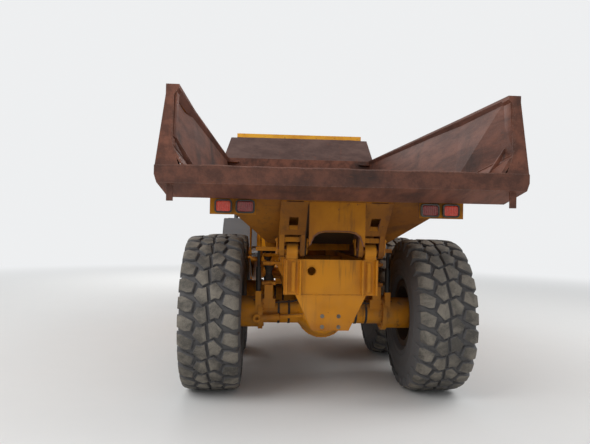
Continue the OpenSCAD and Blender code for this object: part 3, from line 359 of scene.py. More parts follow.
@dataclass(frozen=True)
class RimPaint:
    """Wheel paint: yellow outside, and near black on the side that faces the truck's middle, partly dark dirt and
    partly painted shade.
    """

    name: str = "rim_paint"
    wheel_x: float = 1.15

    def make(self) -> bpy.types.Material:
        """Return the material, whose dark dirt and painted shade follow the distance from the truck's middle plane.
        """
        kit = Shader(self.name)
        x = kit.parts(kit.place())[0]
        out = kit.node("ShaderNodeMath", {"operation": "ABSOLUTE"}, {0: x})
        # Painted shade: the rim's inner side, toward the truck's middle, is darkened to near black. Part of this is
        # dirt and part is the shade between the wheels painted into the colour.
        dirt_and_shade = (out + kit.noise(9.0, 5.0, 0.7) * 0.08 - 0.04).between(self.wheel_x + 0.02, self.wheel_x - 0.03)
        fine = kit.noise(40.0, 5.0, 0.7)
        base = kit.mix(kit.noise(3.0, 4.0).between(0.35, 0.7), SUN_YELLOW, DEEP_YELLOW)
        base = kit.mix(kit.noise(6.0, 5.0, 0.7, warp=0.6).between(0.45, 0.7) * 0.55, base, DUST)
        rim = kit.edges(0.006) * fine.between(0.42, 0.6)
        base = kit.mix((rim + kit.noise(22.0, 6.0, 0.72).between(0.64, 0.69)).held(), base, RUST)
        colour = kit.mix(dirt_and_shade * 0.96, base, kit.mix(fine, tone(30, 27, 24), tone(62, 54, 45)))
        return kit.finish({"Base Color": colour, "Roughness": (0.48 + 0.4 * dirt_and_shade + 0.1 * fine).held(),
                           "Normal": kit.bump(fine * (0.2 + dirt_and_shade), 0.003, 0.6)})


@dataclass(frozen=True)
class Rubber:
    """Rubber with dust in its pores; a worn tread's faces are paler and rougher than its grooves."""

    name: str
    colour: Colour
    dusty: Colour
    cover: float = 0.6
    grain: float = 90.0

    def make(self) -> bpy.types.Material:
        """Return the material."""
        kit = Shader(self.name)
        film = kit.noise(3.6, 6.0, 0.7, warp=0.4).between(0.36, 0.66)
        pores = kit.noise(self.grain, 5.0, 0.75)
        cover = ((film * 0.7 + pores.between(0.45, 0.75) * 0.55) * self.cover).held()
        colour = kit.mix(cover, self.colour, self.dusty)
        cuts = kit.noise(24.0, 6.0, 0.8).between(0.64, 0.7)
        colour = kit.mix(cuts * 0.5, colour, self.colour)
        relief = kit.bump(pores * 0.6 - cuts * 0.9 + kit.noise(14.0, 3.0) * 0.5, 0.0022, 0.7)
        return kit.finish({"Base Color": colour, "Roughness": (0.72 + 0.22 * cover).held(), "Normal": relief},
                          {"Specular IOR Level": 0.35})


@dataclass(frozen=True)
class Casting:
    """Rough cast or forged metal with oil stains."""

    name: str
    colour: Colour
    oily: Colour = tone(28, 25, 22)
    metal: float = 0.35
    rough: float = 0.55

    def make(self) -> bpy.types.Material:
        """Return the material."""
        kit = Shader(self.name)
        oil = kit.noise(4.2, 5.0, 0.65, warp=0.8).between(0.42, 0.64)
        skin = kit.noise(70.0, 4.0, 0.7)
        colour = kit.mix(oil * 0.7, self.colour, self.oily)
        colour = kit.mix(kit.edges(0.004) * 0.5, colour, tone(150, 146, 140))
        roughness = (self.rough + 0.2 * skin - 0.2 * oil).held()
        return kit.finish({"Base Color": colour, "Roughness": roughness, "Normal": kit.bump(skin, 0.0016, 0.6)},
                          {"Metallic": self.metal})


@dataclass(frozen=True)
class Chrome:
    """Polished plating with fine rubbing marks along the rod and a thin film of oil and dust."""

    name: str = "rod_plating"

    def make(self) -> bpy.types.Material:
        """Return the material."""
        kit = Shader(self.name)
        marks = kit.noise(8.0, 4.0, 0.6, stretch=(40.0, 1.0, 40.0))
        film = kit.noise(3.0, 4.0, 0.6).between(0.5, 0.75)
        colour = kit.mix(film * 0.4, tone(214, 216, 220), tone(120, 112, 100))
        return kit.finish({"Base Color": colour, "Roughness": (0.1 + 0.12 * marks + 0.3 * film).held(),
                           "Normal": kit.bump(marks, 0.0003, 0.3)}, {"Metallic": 1.0})


@dataclass(frozen=True)
class Glazing:
    """Tinted sheet glass, dusty towards its lower edge."""

    name: str = "tinted_glazing"
    tint: Colour = tone(150, 172, 168)

    def make(self) -> bpy.types.Material:
        """Return the material."""
        kit = Shader(self.name)
        height = kit.parts(kit.place())[2]
        film = (kit.noise(4.0, 5.0, 0.6, warp=0.5).between(0.35, 0.75) * 0.16
                + height.between(2.75, 2.25) * kit.noise(18.0, 4.0).between(0.3, 0.7) * 0.3).held()
        clear = kit.node("ShaderNodeBsdfPrincipled", {},
                         {"Base Color": self.tint, "Roughness": 0.03, "IOR": 1.45, "Transmission Weight": 1.0})
        dirt = kit.node("ShaderNodeBsdfPrincipled", {}, {"Base Color": DUST, "Roughness": 0.9})
        kit.node_end(kit.node("ShaderNodeMixShader", {}, {0: film, 1: clear, 2: dirt}))
        return kit.material


@dataclass(frozen=True)
class LampLens:
    """Moulded lamp plastic, with a fine prism pattern and a film of dust."""

    name: str
    colour: Colour
    glow: float = 0.0

    def make(self) -> bpy.types.Material:
        """Return the material."""
        kit = Shader(self.name)
        rows = kit.node("ShaderNodeTexWave", {"wave_type": "BANDS", "bands_direction": "Z"},
                        {"Vector": kit.place(), "Scale": 30.0})
        film = kit.noise(9.0, 5.0, 0.65).between(0.4, 0.7)
        colour = kit.mix(film * 0.25, self.colour, DUST)
        shade = kit.mix(rows * 0.35, colour, tuple(part * 0.35 for part in self.colour))
        return kit.finish({"Base Color": shade, "Roughness": (0.18 + 0.4 * film).held(),
                           "Normal": kit.bump(rows, 0.001, 0.5)},
                          {"Coat Weight": 0.6, "Emission Color": (*self.colour, 1.0), "Emission Strength": self.glow})


@dataclass(frozen=True)
class Plastic:
    """Moulded plastic with a leathery grain, greyed by the sun and dusty where it faces up."""

    name: str
    colour: Colour
    dust: float = 0.5
    rough: float = 0.55

    def make(self) -> bpy.types.Material:
        """Return the material."""
        kit = Shader(self.name)
        up = kit.facing()[2]
        grain = kit.node("ShaderNodeTexVoronoi", {"feature": "F1"}, {"Vector": kit.place(), "Scale": 260.0})
        clouds = kit.noise(2.4, 5.0, 0.65).between(0.35, 0.7)
        greyed = kit.mix(clouds * 0.4, self.colour, tone(112, 108, 102))
        dust = ((up.between(0.1, 0.95) * 0.8 + 0.2) * kit.noise(6.0, 5.0, 0.7).between(0.35, 0.65) * self.dust).held()
        colour = kit.mix(dust, greyed, DUST)
        return kit.finish({"Base Color": colour, "Roughness": (self.rough + 0.3 * dust).held(),
                           "Normal": kit.bump(grain, 0.0007, 0.5)})


@dataclass(frozen=True)
class Cloth:
    """Woven seat cloth."""

    name: str
    colour: Colour
    thread: Colour

    def make(self) -> bpy.types.Material:
        """Return the material."""
        kit = Shader(self.name)
        bands = [kit.node("ShaderNodeTexWave", {"wave_type": "BANDS", "bands_direction": direction},
                          {"Vector": kit.place(), "Scale": 95.0}) for direction in ("X", "Z")]
        weave = (bands[0] * 0.5 + bands[1] * 0.5).held()
        worn = kit.noise(6.0, 4.0).between(0.45, 0.75)
        colour = kit.mix(weave.between(0.3, 0.7), self.colour, self.thread)
        colour = kit.mix(worn * 0.35, colour, tone(96, 92, 86))
        return kit.finish({"Base Color": colour, "Roughness": (0.8 + 0.15 * weave).held(),
                           "Normal": kit.bump(weave, 0.0012, 0.7)}, {"Sheen Weight": 0.25})


class Finish(Enum):
    """The finishes that the truck's pieces take."""

    YELLOW = WornPaint("worn_yellow_paint", SUN_YELLOW, DEEP_YELLOW, dust=0.4, chips=0.7, grime=0.6)
    AXLE = WornPaint("axle_yellow_paint", SUN_YELLOW, DEEP_YELLOW, dust=0.6, chips=0.6, grime=0.85, gloss=0.5)
    CAB = WornPaint("cab_yellow_paint", tone(222, 152, 22), SUN_YELLOW, dust=0.4, chips=0.35, grime=0.35, gloss=0.32)
    GUARD = GuardPlate()
    RIM = RimPaint()
    DARK = WornPaint("dark_machine_paint", tone(44, 44, 44), tone(28, 28, 28), dust=0.5, chips=0.5, grime=0.2)
    BODY = HaulBodySteel()
    TYRE = Rubber("tyre_rubber", tone(24, 23, 22), tone(70, 66, 60), cover=0.5)
    TREAD = Rubber("worn_tread_rubber", tone(66, 63, 59), tone(142, 134, 122), cover=0.95, grain=150.0)
    FLAP = Rubber("flap_rubber", tone(30, 29, 28), tone(98, 90, 80), cover=0.6)
    IRON = Casting("oily_cast_iron", tone(58, 56, 54))
    BOLT = Casting("bolt_steel", tone(120, 112, 100), oily=tone(60, 48, 36), metal=0.7, rough=0.42)
    SILVER = Casting("bare_aluminium", tone(168, 168, 166), oily=tone(96, 92, 86), metal=0.8, rough=0.4)
    CHROME = Chrome()
    GLASS = Glazing()
    MIRROR = Casting("mirror_glass", tone(206, 210, 214), oily=tone(190, 194, 198), metal=1.0, rough=0.03)
    FENDER = Plastic("fender_plastic", tone(46, 47, 49), dust=0.22)
    TRIM = Plastic("black_trim", tone(22, 22, 23), dust=0.25, rough=0.5)
    CLOTH = Cloth("seat_cloth", tone(38, 39, 42), tone(60, 62, 68))
    RED = LampLens("red_lens", tone(128, 22, 20), 0.02)
    ORANGE = LampLens("orange_red_lens", tone(206, 58, 34), 0.05)
    AMBER = LampLens("amber_lens", tone(232, 122, 14), 0.05)
    CLEAR = LampLens("clear_lens", tone(214, 218, 220))

    def material(self) -> bpy.types.Material:
        """Return the finish's material, made the first time that it is asked for."""
        return bpy.data.materials.get(self.value.name) or self.value.make()


# Modelling kit


class Work:
    """A mesh that is shaped with Blender's operators, in metres and in the truck's own frame."""

    def __init__(self, name: str) -> None:
        """Take the primitive that was just added and open it for editing."""
        bpy.ops.object.transform_apply(location=True, rotation=True, scale=True)
        self.obj = bpy.context.active_object
        self.obj.name = name
        self.obj.data.name = name
        bpy.ops.object.mode_set(mode="EDIT")
        bpy.ops.mesh.select_mode(type="FACE")

    @classmethod
    def box(cls, name: str, low: Point, high: Point) -> "Work":
        """Start from a cube between two corners."""
        clear_selection()
        middle = [(a + b) / 2 for a, b in zip(low, high)]
        bpy.ops.mesh.primitive_cube_add(size=1, location=middle, scale=[b - a for a, b in zip(low, high)])
        return cls(name)

    @classmethod
    def drum(cls, name: str, start: Point, end: Point, radius: float, sides: int = 32) -> "Work":
        """Start from a cylinder between two points."""
        clear_selection()
        way = Vector(end) - Vector(start)
        bpy.ops.mesh.primitive_cylinder_add(vertices=sides, radius=radius, depth=way.length,
                                            location=(Vector(start) + Vector(end)) / 2,
                                            rotation=way.to_track_quat("Z", "Y").to_euler())
        return cls(name)

    @classmethod
    def prism(cls, name: str, outline: Sequence[Point], move: Point) -> "Work":
        """Start from a flat face with these corners and extrude it."""
        clear_selection()
        bpy.ops.mesh.primitive_circle_add(vertices=len(outline), fill_type="NGON")
        work = cls(name)
        for corner, place in zip(work.cage().verts, outline):
            corner.co = place
        bmesh.update_edit_mesh(work.obj.data)
        return work.all().extrude(move).outward()

    @classmethod
    def turned(cls, name: str, profile: Sequence[tuple[float, float]], centre: Point, axis: Point,
               steps: int = 48) -> "Work":
        """Spin a closed outline round an axis, as on a lathe.

        Args:
            name: The piece's name.
            profile: Its corners, each a place along the axis and a radius.
            centre: A point on the axis, from which places are measured.
            axis: The axis's direction.
            steps: How many flats the round has.

        Returns:
            The shape, still open for editing.
        """
        clear_selection()
        bpy.ops.mesh.primitive_circle_add(vertices=len(profile), fill_type="NOTHING")
        work = cls(name)
        line = Vector(axis).normalized()
        out = line.orthogonal().normalized()
        for corner, (along, radius) in zip(work.cage().verts, profile):
            corner.co = Vector(centre) + line * along + out * radius
        bmesh.update_edit_mesh(work.obj.data)
        bpy.ops.mesh.select_mode(type="VERT")
        bpy.ops.mesh.select_all(action="SELECT")
        bpy.ops.mesh.spin(steps=steps, angle=math.tau, center=centre, axis=line)
        bpy.ops.mesh.select_all(action="SELECT")
        bpy.ops.mesh.remove_doubles(threshold=1e-5)
        bpy.ops.mesh.select_all(action="SELECT")
        bpy.ops.mesh.delete_loose()
        bpy.ops.mesh.select_mode(type="FACE")
        return work.outward()

    @classmethod
    def pipe(cls, name: str, route: Sequence[Point], radius: float, bend: float = 0.0, sides: int = 3) -> "Work":
        """Run a tube along a route, with its corners rounded.

        Args:
            name: The piece's name.
            route: The corners of the tube's middle line.
            radius: The tube's radius.
            bend: The radius of its bends.
            sides: How fine its round is.

        Returns:
            The shape, still open for editing.
        """
        clear_selection()
        bpy.ops.curve.primitive_bezier_curve_add()
        curve = bpy.context.active_object.data
        curve.splines.clear()
        points = eased(route, bend)
        spline = curve.splines.new("POLY")
        spline.points.add(len(points) - 1)
        for spot, place in zip(spline.points, points):
            spot.co = (*place, 1.0)
        curve.bevel_depth = radius
        curve.bevel_resolution = sides
        curve.use_fill_caps = True
        bpy.ops.object.convert(target="MESH")
        work = cls(name)
        return work.merged().outward()

    def cage(self) -> bmesh.types.BMesh:
        """Return the mesh that is open for editing."""
        return bmesh.from_edit_mesh(self.obj.data)

    def pick(self, test: FaceTest) -> "Work":
        """Select the faces whose middle and direction pass a test, and no others."""
        bpy.ops.mesh.select_all(action="DESELECT")
        for face in self.cage().faces:
            face.select_set(bool(test(face.calc_center_median(), face.normal)))
        bmesh.update_edit_mesh(self.obj.data)
        return self

    def all(self) -> "Work":
        """Select everything."""
        bpy.ops.mesh.select_all(action="SELECT")
        return self

    def extrude(self, move: Point) -> "Work":
        """Extrude what is selected."""
        bpy.ops.mesh.extrude_region_move(TRANSFORM_OT_translate={"value": tuple(move)})
        return self

    def inset(self, thickness: float, depth: float = 0.0, each: bool = False) -> "Work":
        """Inset what is selected, and sink or raise it."""
        bpy.ops.mesh.inset(thickness=thickness, depth=depth, use_individual=each)
        return self

    def grow(self, factors: Point, centre: Point) -> "Work":
        """Scale what is selected about a point."""
        bpy.ops.transform.resize(value=factors, center_override=centre)
        return self

    def cut(self, place: Point, direction: Point) -> "Work":
        """Cut the whole mesh along a plane, without taking anything away."""
        self.all()
        bpy.ops.mesh.bisect(plane_co=place, plane_no=direction)
        return self

    def bevel(self, width: float, segments: int = 2) -> "Work":
        """Bevel the edges of what is selected."""
        bpy.ops.mesh.bevel(offset=width, segments=segments, affect="EDGES")
        return self

    def merged(self) -> "Work":
        """Merge the points that lie in one place."""
        self.all()
        bpy.ops.mesh.remove_doubles(threshold=1e-5)
        return self

    def outward(self) -> "Work":
        """Make the faces point outwards."""
        self.all()
        bpy.ops.mesh.normals_make_consistent(inside=False)
        return self

    def done(self, bevel: float = 0.0, segments: int = 2, smooth: float = 35.0) -> Piece:
        """Close the shape.

        Args:
            bevel: How wide its sharp edges are bevelled.
            segments: How many faces each bevel has.
            smooth: Up to what angle in degrees an edge is shaded smooth.

        Returns:
            The object.
        """
        bpy.ops.object.mode_set(mode="OBJECT")
        if bevel:
            soften(self.obj, bevel, segments)
        bpy.ops.object.shade_smooth_by_angle(angle=math.radians(smooth))
        return self.obj


def clear_selection() -> None:
    """Deselect everything, the CAD nodes among it."""
    bpy.ops.object.select_all(action="DESELECT")


def eased(route: Sequence[Point], bend: float, steps: int = 5) -> list[Vector]:
    """Round the corners of a line.

    Args:
        route: The line's corners.
        bend: The radius of its bends.
        steps: How many points each bend has.

    Returns:
        The points of the rounded line.
    """
    points = [Vector(p) for p in route]
    if not bend:
        return points
    line = [points[0]]
    for before, corner, after in zip(points, points[1:], points[2:]):
        back, on = (before - corner), (after - corner)
        reach = min(bend, back.length * 0.45, on.length * 0.45)
        start, end = corner + back.normalized() * reach, corner + on.normalized() * reach
        for k in range(steps + 1):
            t = k / steps
            line.append(start * (1 - t) ** 2 + corner * 2 * t * (1 - t) + end * t * t)
    return [*line, points[-1]]


def soften(obj: Piece, width: float, segments: int = 2, angle: float = 32.0) -> None:
    """Bevel an object's sharp edges with an applied modifier."""
    activate(obj)
    bevel = obj.modifiers.new("bevel", "BEVEL")
    bevel.width = width
    bevel.segments = segments
    bevel.limit_method = "ANGLE"
    bevel.angle_limit = math.radians(angle)
    bpy.ops.object.modifier_apply(modifier=bevel.name)


def activate(obj: Piece) -> None:
    """Select one object alone and make it the active one."""
    clear_selection()
    obj.select_set(True)
    bpy.context.view_layer.objects.active = obj


def copy_to(obj: Piece, place: Matrix, name: str) -> Piece:
    """Copy a piece with a mesh of its own, turned right side out where the place mirrors it."""
    twin = obj.copy()
    twin.data = obj.data.copy()
    twin.name = name
    twin.data.name = name
    bpy.context.scene.collection.objects.link(twin)
    twin.data.transform(place)
    if place.determinant() < 0:
        twin.data.flip_normals()
    return twin


def joined(objects: Iterable[Piece], name: str) -> Piece:
    """Join pieces to one."""
    objects = list(objects)
    activate(objects[0])
    for obj in objects:
        obj.select_set(True)
    if len(objects) > 1:
        bpy.ops.object.join()
    objects[0].name = name
    objects[0].data.name = name
    return objects[0]


def repeated(obj: Piece, places: Iterable[Matrix], name: str) -> Piece:
    """Copy a model piece to every place, join the copies and remove the model."""
    twins = [copy_to(obj, place, f"{name}_{k}") for k, place in enumerate(places)]
    bpy.data.objects.remove(obj)
    return joined(twins, name)


def both_sides(obj: Piece, name: str) -> Piece:
    """Join a piece and its mirror image across the truck."""
    return repeated(obj, [Matrix.Identity(4), MIRROR], name)


def paint(obj: Piece, *finishes: Finish) -> Piece:
    """Give an object's slots these finishes in order; slots beyond them take the last."""
    slots = obj.data.materials
    while len(slots) < len(finishes):
        slots.append(None)
    for k in range(len(slots) if finishes else 0):
        slots[k] = finishes[min(k, len(finishes) - 1)].material()
    return obj


def settle(obj: Piece, body: str, slot: str, *finishes: Finish) -> Piece:
    """Dress a finished piece, put it on its body and report it.

    Args:
        obj: The piece.
        body: The CAD body that it moves with.
        slot: The record's material slot; not used.
        finishes: The finishes of its slots.

    Returns:
        The piece.
    """
    paint(obj, *finishes)
    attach(obj, body)
    LOG.info("%s: %d faces, on %s", obj.name, len(obj.data.polygons), body)
    return obj


MIRROR = Matrix.Scale(-1, 4, (1, 0, 0))


def moved(x: float, y: float, z: float) -> Matrix:
    """Return a plain shift."""
    return Matrix.Translation((x, y, z))


def around(centre: Point, axis: str, count: int, start: float = 0.0, reach: Point = (0, 0, 0)) -> list[Matrix]:
    """Return places spaced evenly round an axis.

    Args:
        centre: A point on the axis.
        axis: The axis's letter.
        count: How many places there are.
        start: The angle of the first.
        reach: The shift from the centre before the turn.

    Returns:
        The places.
    """
    return [moved(*centre) @ Matrix.Rotation(start + math.tau * k / count, 4, axis) @ moved(*reach)
            for k in range(count)]


def planar(axis: int, level: float, *spots: tuple[float, float]) -> list[Point]:
    """Return points that share one coordinate: that axis's number, its value, and the other two of each."""
    return [(*spot[:axis], level, *spot[axis:]) for spot in spots]


def pair(name: str, parts: Iterable[Piece]) -> Piece:
    """Join parts and their mirror images across the truck to one piece."""
    return both_sides(joined(parts, f"{name}_half"), name)


def slab(low: Point, high: Point, bevel: float = 0.0, segments: int = 2) -> Piece:
    """Model a box between two corners, its edges bevelled."""
    return Work.box("slab", low, high).done(bevel, segments)


def dowel(start: Point, end: Point, radius: float, sides: int = 32, bevel: float = 0.0, segments: int = 2) -> Piece:
    """Model a round bar between two points."""
    return Work.drum("dowel", start, end, radius, sides).done(bevel, segments)


def tube(route: Sequence[Point], radius: float, bend: float = 0.0, sides: int = 3) -> Piece:
    """Model a tube along a route, its corners rounded."""
    return Work.pipe("tube", route, radius, bend, sides).done()


def lathed(profile: Sequence[tuple[float, float]], centre: Point, axis: Point, steps: int = 48, bevel: float = 0.0,
           segments: int = 2) -> Piece:
    """Model a round piece from its outline, each corner a place along the axis and a radius."""
    return Work.turned("lathed", profile, centre, axis, steps).done(bevel, segments)


def bead(route: Sequence[Point], radius: float = 0.008) -> Piece:
    """Lay a weld bead along a route."""
    return tube(route, radius, sides=1)


def band(centre: Point, axis: Point, half: float, inner: float, outer: float, steps: int, bevel: float = 0.001,
         segments: int = 1) -> Piece:
    """Model a flat ring round an axis, from half its width and its two radii."""
    profile = [(-half, inner), (-half, outer), (half, outer), (half, inner)]
    return lathed(profile, centre, axis, steps, bevel, segments)


def cutout(outline: Sequence[Point], move: Point, bevel: float = 0.0, segments: int = 2) -> Piece:
    """Model a plate from the corners of one face and the way to the other."""
    return Work.prism("cutout", outline, move).done(bevel, segments)


def bolt(name: str, radius: float, height: float, axis: Point, washer: float = 1.35) -> Piece:
    """Model a hexagon bolt head on a washer, standing at the origin along an axis.

    Args:
        name: The piece's name.
        radius: The head's radius over its corners.
        height: The head's height.
        axis: Where it points.
        washer: The washer's radius in head radii.

    Returns:
        The bolt.
    """
    line = Vector(axis).normalized()
    plate = height * 0.2
    ring = Work.drum(f"{name}_washer", -line * 0.002, line * plate, radius * washer, 16).done(0.0008, 1)
    head = Work.drum(name, line * plate, line * height, radius, 6)
    head.pick(lambda c, n: n.dot(line) > 0.9).bevel(radius * 0.14, 1)
    return joined([head.done(), ring], name)


# Wheels


WHEEL_X, AXLE_Z = 1.15, 0.81
AXLES = {"front": -2.53, "mid": 1.57, "rear": 3.3}
REAR_AXLES = (AXLES["mid"], AXLES["rear"])
WHEELS = {f"{row}_{side}": (WHEEL_X * sign, y, AXLE_Z)
          for row, y in AXLES.items() for side, sign in (("left", 1), ("right", -1))}


def graded(value: float, stations: Sequence[tuple[float, float]]) -> float:
    """Read a value off a line of stations, each a place and a height."""
    for (a, low), (b, high) in zip(stations, stations[1:]):
        if value <= b:
            return low + (high - low) * (value - a) / (b - a)
    return stations[-1][1]


@dataclass
class Tyre:
    """A worn radial tyre for rough ground, with four staggered columns of tread blocks."""

    radius: float = 0.81
    rows: int = 28
    groove: float = 0.028
    stagger: float = 0.043
    shoulder: float = 0.285
    face_line: tuple = ((0.0, 0.81), (0.125, 0.81), (0.225, 0.803), (0.262, 0.794), (0.285, 0.779), (0.31, 0.73))
    wall: tuple = ((0.2397, 0.3178), (0.2397, 0.3655), (0.262, 0.3855), (0.2745, 0.394), (0.286, 0.402),
                   (0.289, 0.41), (0.286, 0.418), (0.29, 0.452), (0.2945, 0.461), (0.2945, 0.469), (0.2925, 0.478),
                   (0.2975, 0.5275), (0.298, 0.572), (0.3, 0.58), (0.3, 0.59), (0.296, 0.598), (0.291, 0.645),
                   (0.284, 0.69), (0.276, 0.728), (0.26, 0.756), (0.225, 0.77), (0.12, 0.78), (0.0, 0.782))
    centre_block: tuple = ((-0.1, 0.075), (-0.062, 0.066), (-0.025, 0.085), (-0.006, -0.055), (-0.06, -0.085),
                           (-0.135, -0.005))
    shoulder_block: tuple = ((-0.285, -0.008), (-0.24, -0.003), (-0.136, -0.058), (-0.158, -0.15), (-0.21, -0.152),
                             (-0.285, -0.118))

    def block(self, name: str, outline: Sequence[tuple[float, float]], anchor: float) -> Piece:
        """Model one tread block flat, its face up at height 0.

        Args:
            name: The block's name.
            outline: The face's corners, across the tread and along it.
            anchor: The place across the tread that its tapered sides spread from.

        Returns:
            The block, its face in the second slot.
        """
        middle = sum(p[1] for p in outline) / len(outline)
        work = Work.prism(name, [(u, v, 0.0) for u, v in outline], (0, 0, -self.groove))
        work.pick(lambda c, n: n.z < -0.9).grow((1.12, 1.1, 1.0), (anchor, middle, 0))
        work.pick(lambda c, n: n.z > 0.9).bevel(0.0045, 2)
        for k in (-1, 0, 1):
            work.cut((0, middle + 0.042 * k, 0), (0, 1, 0))
        work.cut((math.copysign(0.235, anchor), 0, 0), (1, 0, 0))
        obj = paint(work.done(), Finish.TYRE, Finish.TREAD)
        for face in obj.data.polygons:
            face.material_index = int(face.normal.z > 0.75)
        return obj

    def wrapped(self, spot: Vector) -> Vector:
        """Return where a point of the flat tread lies on the tyre, whose axle is at the origin."""
        across, side = abs(spot.x), math.copysign(1, spot.x)
        out = min(max((across - 0.235) / 0.045, 0.0), 1.0)
        drop = min(-spot.z / self.groove, 1.0)
        radius = graded(across, self.face_line) + spot.z * (1 + 2.4 * out)
        turn = -spot.y / self.radius
        wide = min(across + 0.012 * out * drop, 0.299)
        return Vector((-side * wide, radius * math.sin(turn), radius * math.cos(turn)))

    def row(self) -> Piece:
        """Return the four blocks of one row, wrapped on the tyre."""
        centre = self.block("centre_block", self.centre_block, -0.07)
        outer = self.block("shoulder_block", self.shoulder_block, -self.shoulder)
        half = joined([centre, outer], "half_row")
        turned = Matrix.Translation((0, self.stagger, 0)) @ Matrix.Rotation(math.pi, 4, "Z")
        whole = repeated(half, [Matrix.Identity(4), turned], "row")
        for point in whole.data.vertices:
            point.co = self.wrapped(point.co)
        return whole

    def build(self) -> Piece:
        """Return the whole tyre with its axle through the origin."""
        profile = [*self.wall, *[(-x, r) for x, r in self.wall[-2::-1]]]
        carcass = Work.turned("carcass", profile, (0, 0, 0), (1, 0, 0), 112).done(smooth=40)
        tread = repeated(self.row(), around((0, 0, 0), "X", self.rows), "tread")
        return joined([paint(carcass, Finish.TYRE), tread], "tyre")


@dataclass
class WheelFittings:
    """Nuts on the studs, lock ring, valve and hub cover bolts of a left wheel centred at the origin."""

    nuts: int = 12
    circle: float = 0.227
    disc: float = 0.0755
    hub_face: float = 0.242

    def ring(self, model: Piece, count: int, radius: float, along: float, start: float, name: str) -> Piece:
        """Copy a fitting round the hub."""
        return repeated(model, around((0, 0, 0), "X", count, math.radians(start), (along, 0, radius)), name)

    def build(self) -> Piece:
        """Return the fittings as one piece."""
        stud = dowel((-0.02, 0, 0), (0.046, 0, 0), 0.0145, 12, 0.002, 1)
        nut = joined([bolt("nut", 0.027, 0.03, (1, 0, 0)), stud], "nut")
        parts = [self.ring(nut, self.nuts, self.circle, self.disc, 15, "nuts"),
                 self.ring(bolt("cover_bolt", 0.013, 0.014, (1, 0, 0)), 12, 0.118, self.hub_face, 0, "cover_bolts")]
        for part in parts:
            paint(part, Finish.BOLT)
        lock = lathed([(0.2585, 0.312), (0.2585, 0.352), (0.264, 0.354), (0.2695, 0.346), (0.2695, 0.322),
                       (0.264, 0.31)], (0, 0, 0), (1, 0, 0), 72, 0.001, 1)
        cap = lathed([(0.245, 0), (0.245, 0.056), (0.257, 0.054), (0.262, 0.046), (0.262, 0.02), (0.256, 0.018),
                      (0.256, 0)], (0, 0, 0), (1, 0, 0), 36)
        seam = lathed([(0.19, 0.163), (0.19, 0.171), (0.197, 0.173), (0.204, 0.171), (0.204, 0.163)], (0, 0, 0),
                      (1, 0, 0), 48)
        painted = paint(joined([lock, cap, seam], "rings"), Finish.AXLE)
        plug = paint(repeated(bolt("plug", 0.016, 0.018, (1, 0, 0)), [moved(0.2475, 0.072, 0.01)], "plug"),
                     Finish.BOLT)
        valve = paint(tube([(0.08, 0, -0.262), (0.15, 0, -0.272), (0.215, 0, -0.288)], 0.0065, 0.02), Finish.BOLT)
        return joined([*parts, painted, plug, valve], "wheel_fittings")


@dataclass
class Wheels:
    """The six tyres and the fittings of their rims."""

    tyre: Tyre
    fittings: WheelFittings
    phase: float = 2.2

    def build(self) -> None:
        """Model one tyre and one set of fittings, and copy them to the six wheels."""
        tyre, fittings = self.tyre.build(), self.fittings.build()
        for k, (wheel, place) in enumerate(WHEELS.items()):
            turn = Matrix.Rotation(math.radians(self.phase + 4.1 * k), 4, "X")
            cover = copy_to(tyre, moved(*place) @ turn, f"lugged_tyre_{wheel}")
            settle(cover, f"wheel_{wheel}", "tyre_rubber")
            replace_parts(cover, f"tyre_{wheel}")
            outward = Matrix.Identity(4) if place[0] > 0 else MIRROR
            settle(copy_to(fittings, moved(*place) @ outward, f"wheel_fittings_{wheel}"), f"wheel_{wheel}",
                   "yellow_paint")
        bpy.data.objects.remove(tyre)
        bpy.data.objects.remove(fittings)


# Dump body


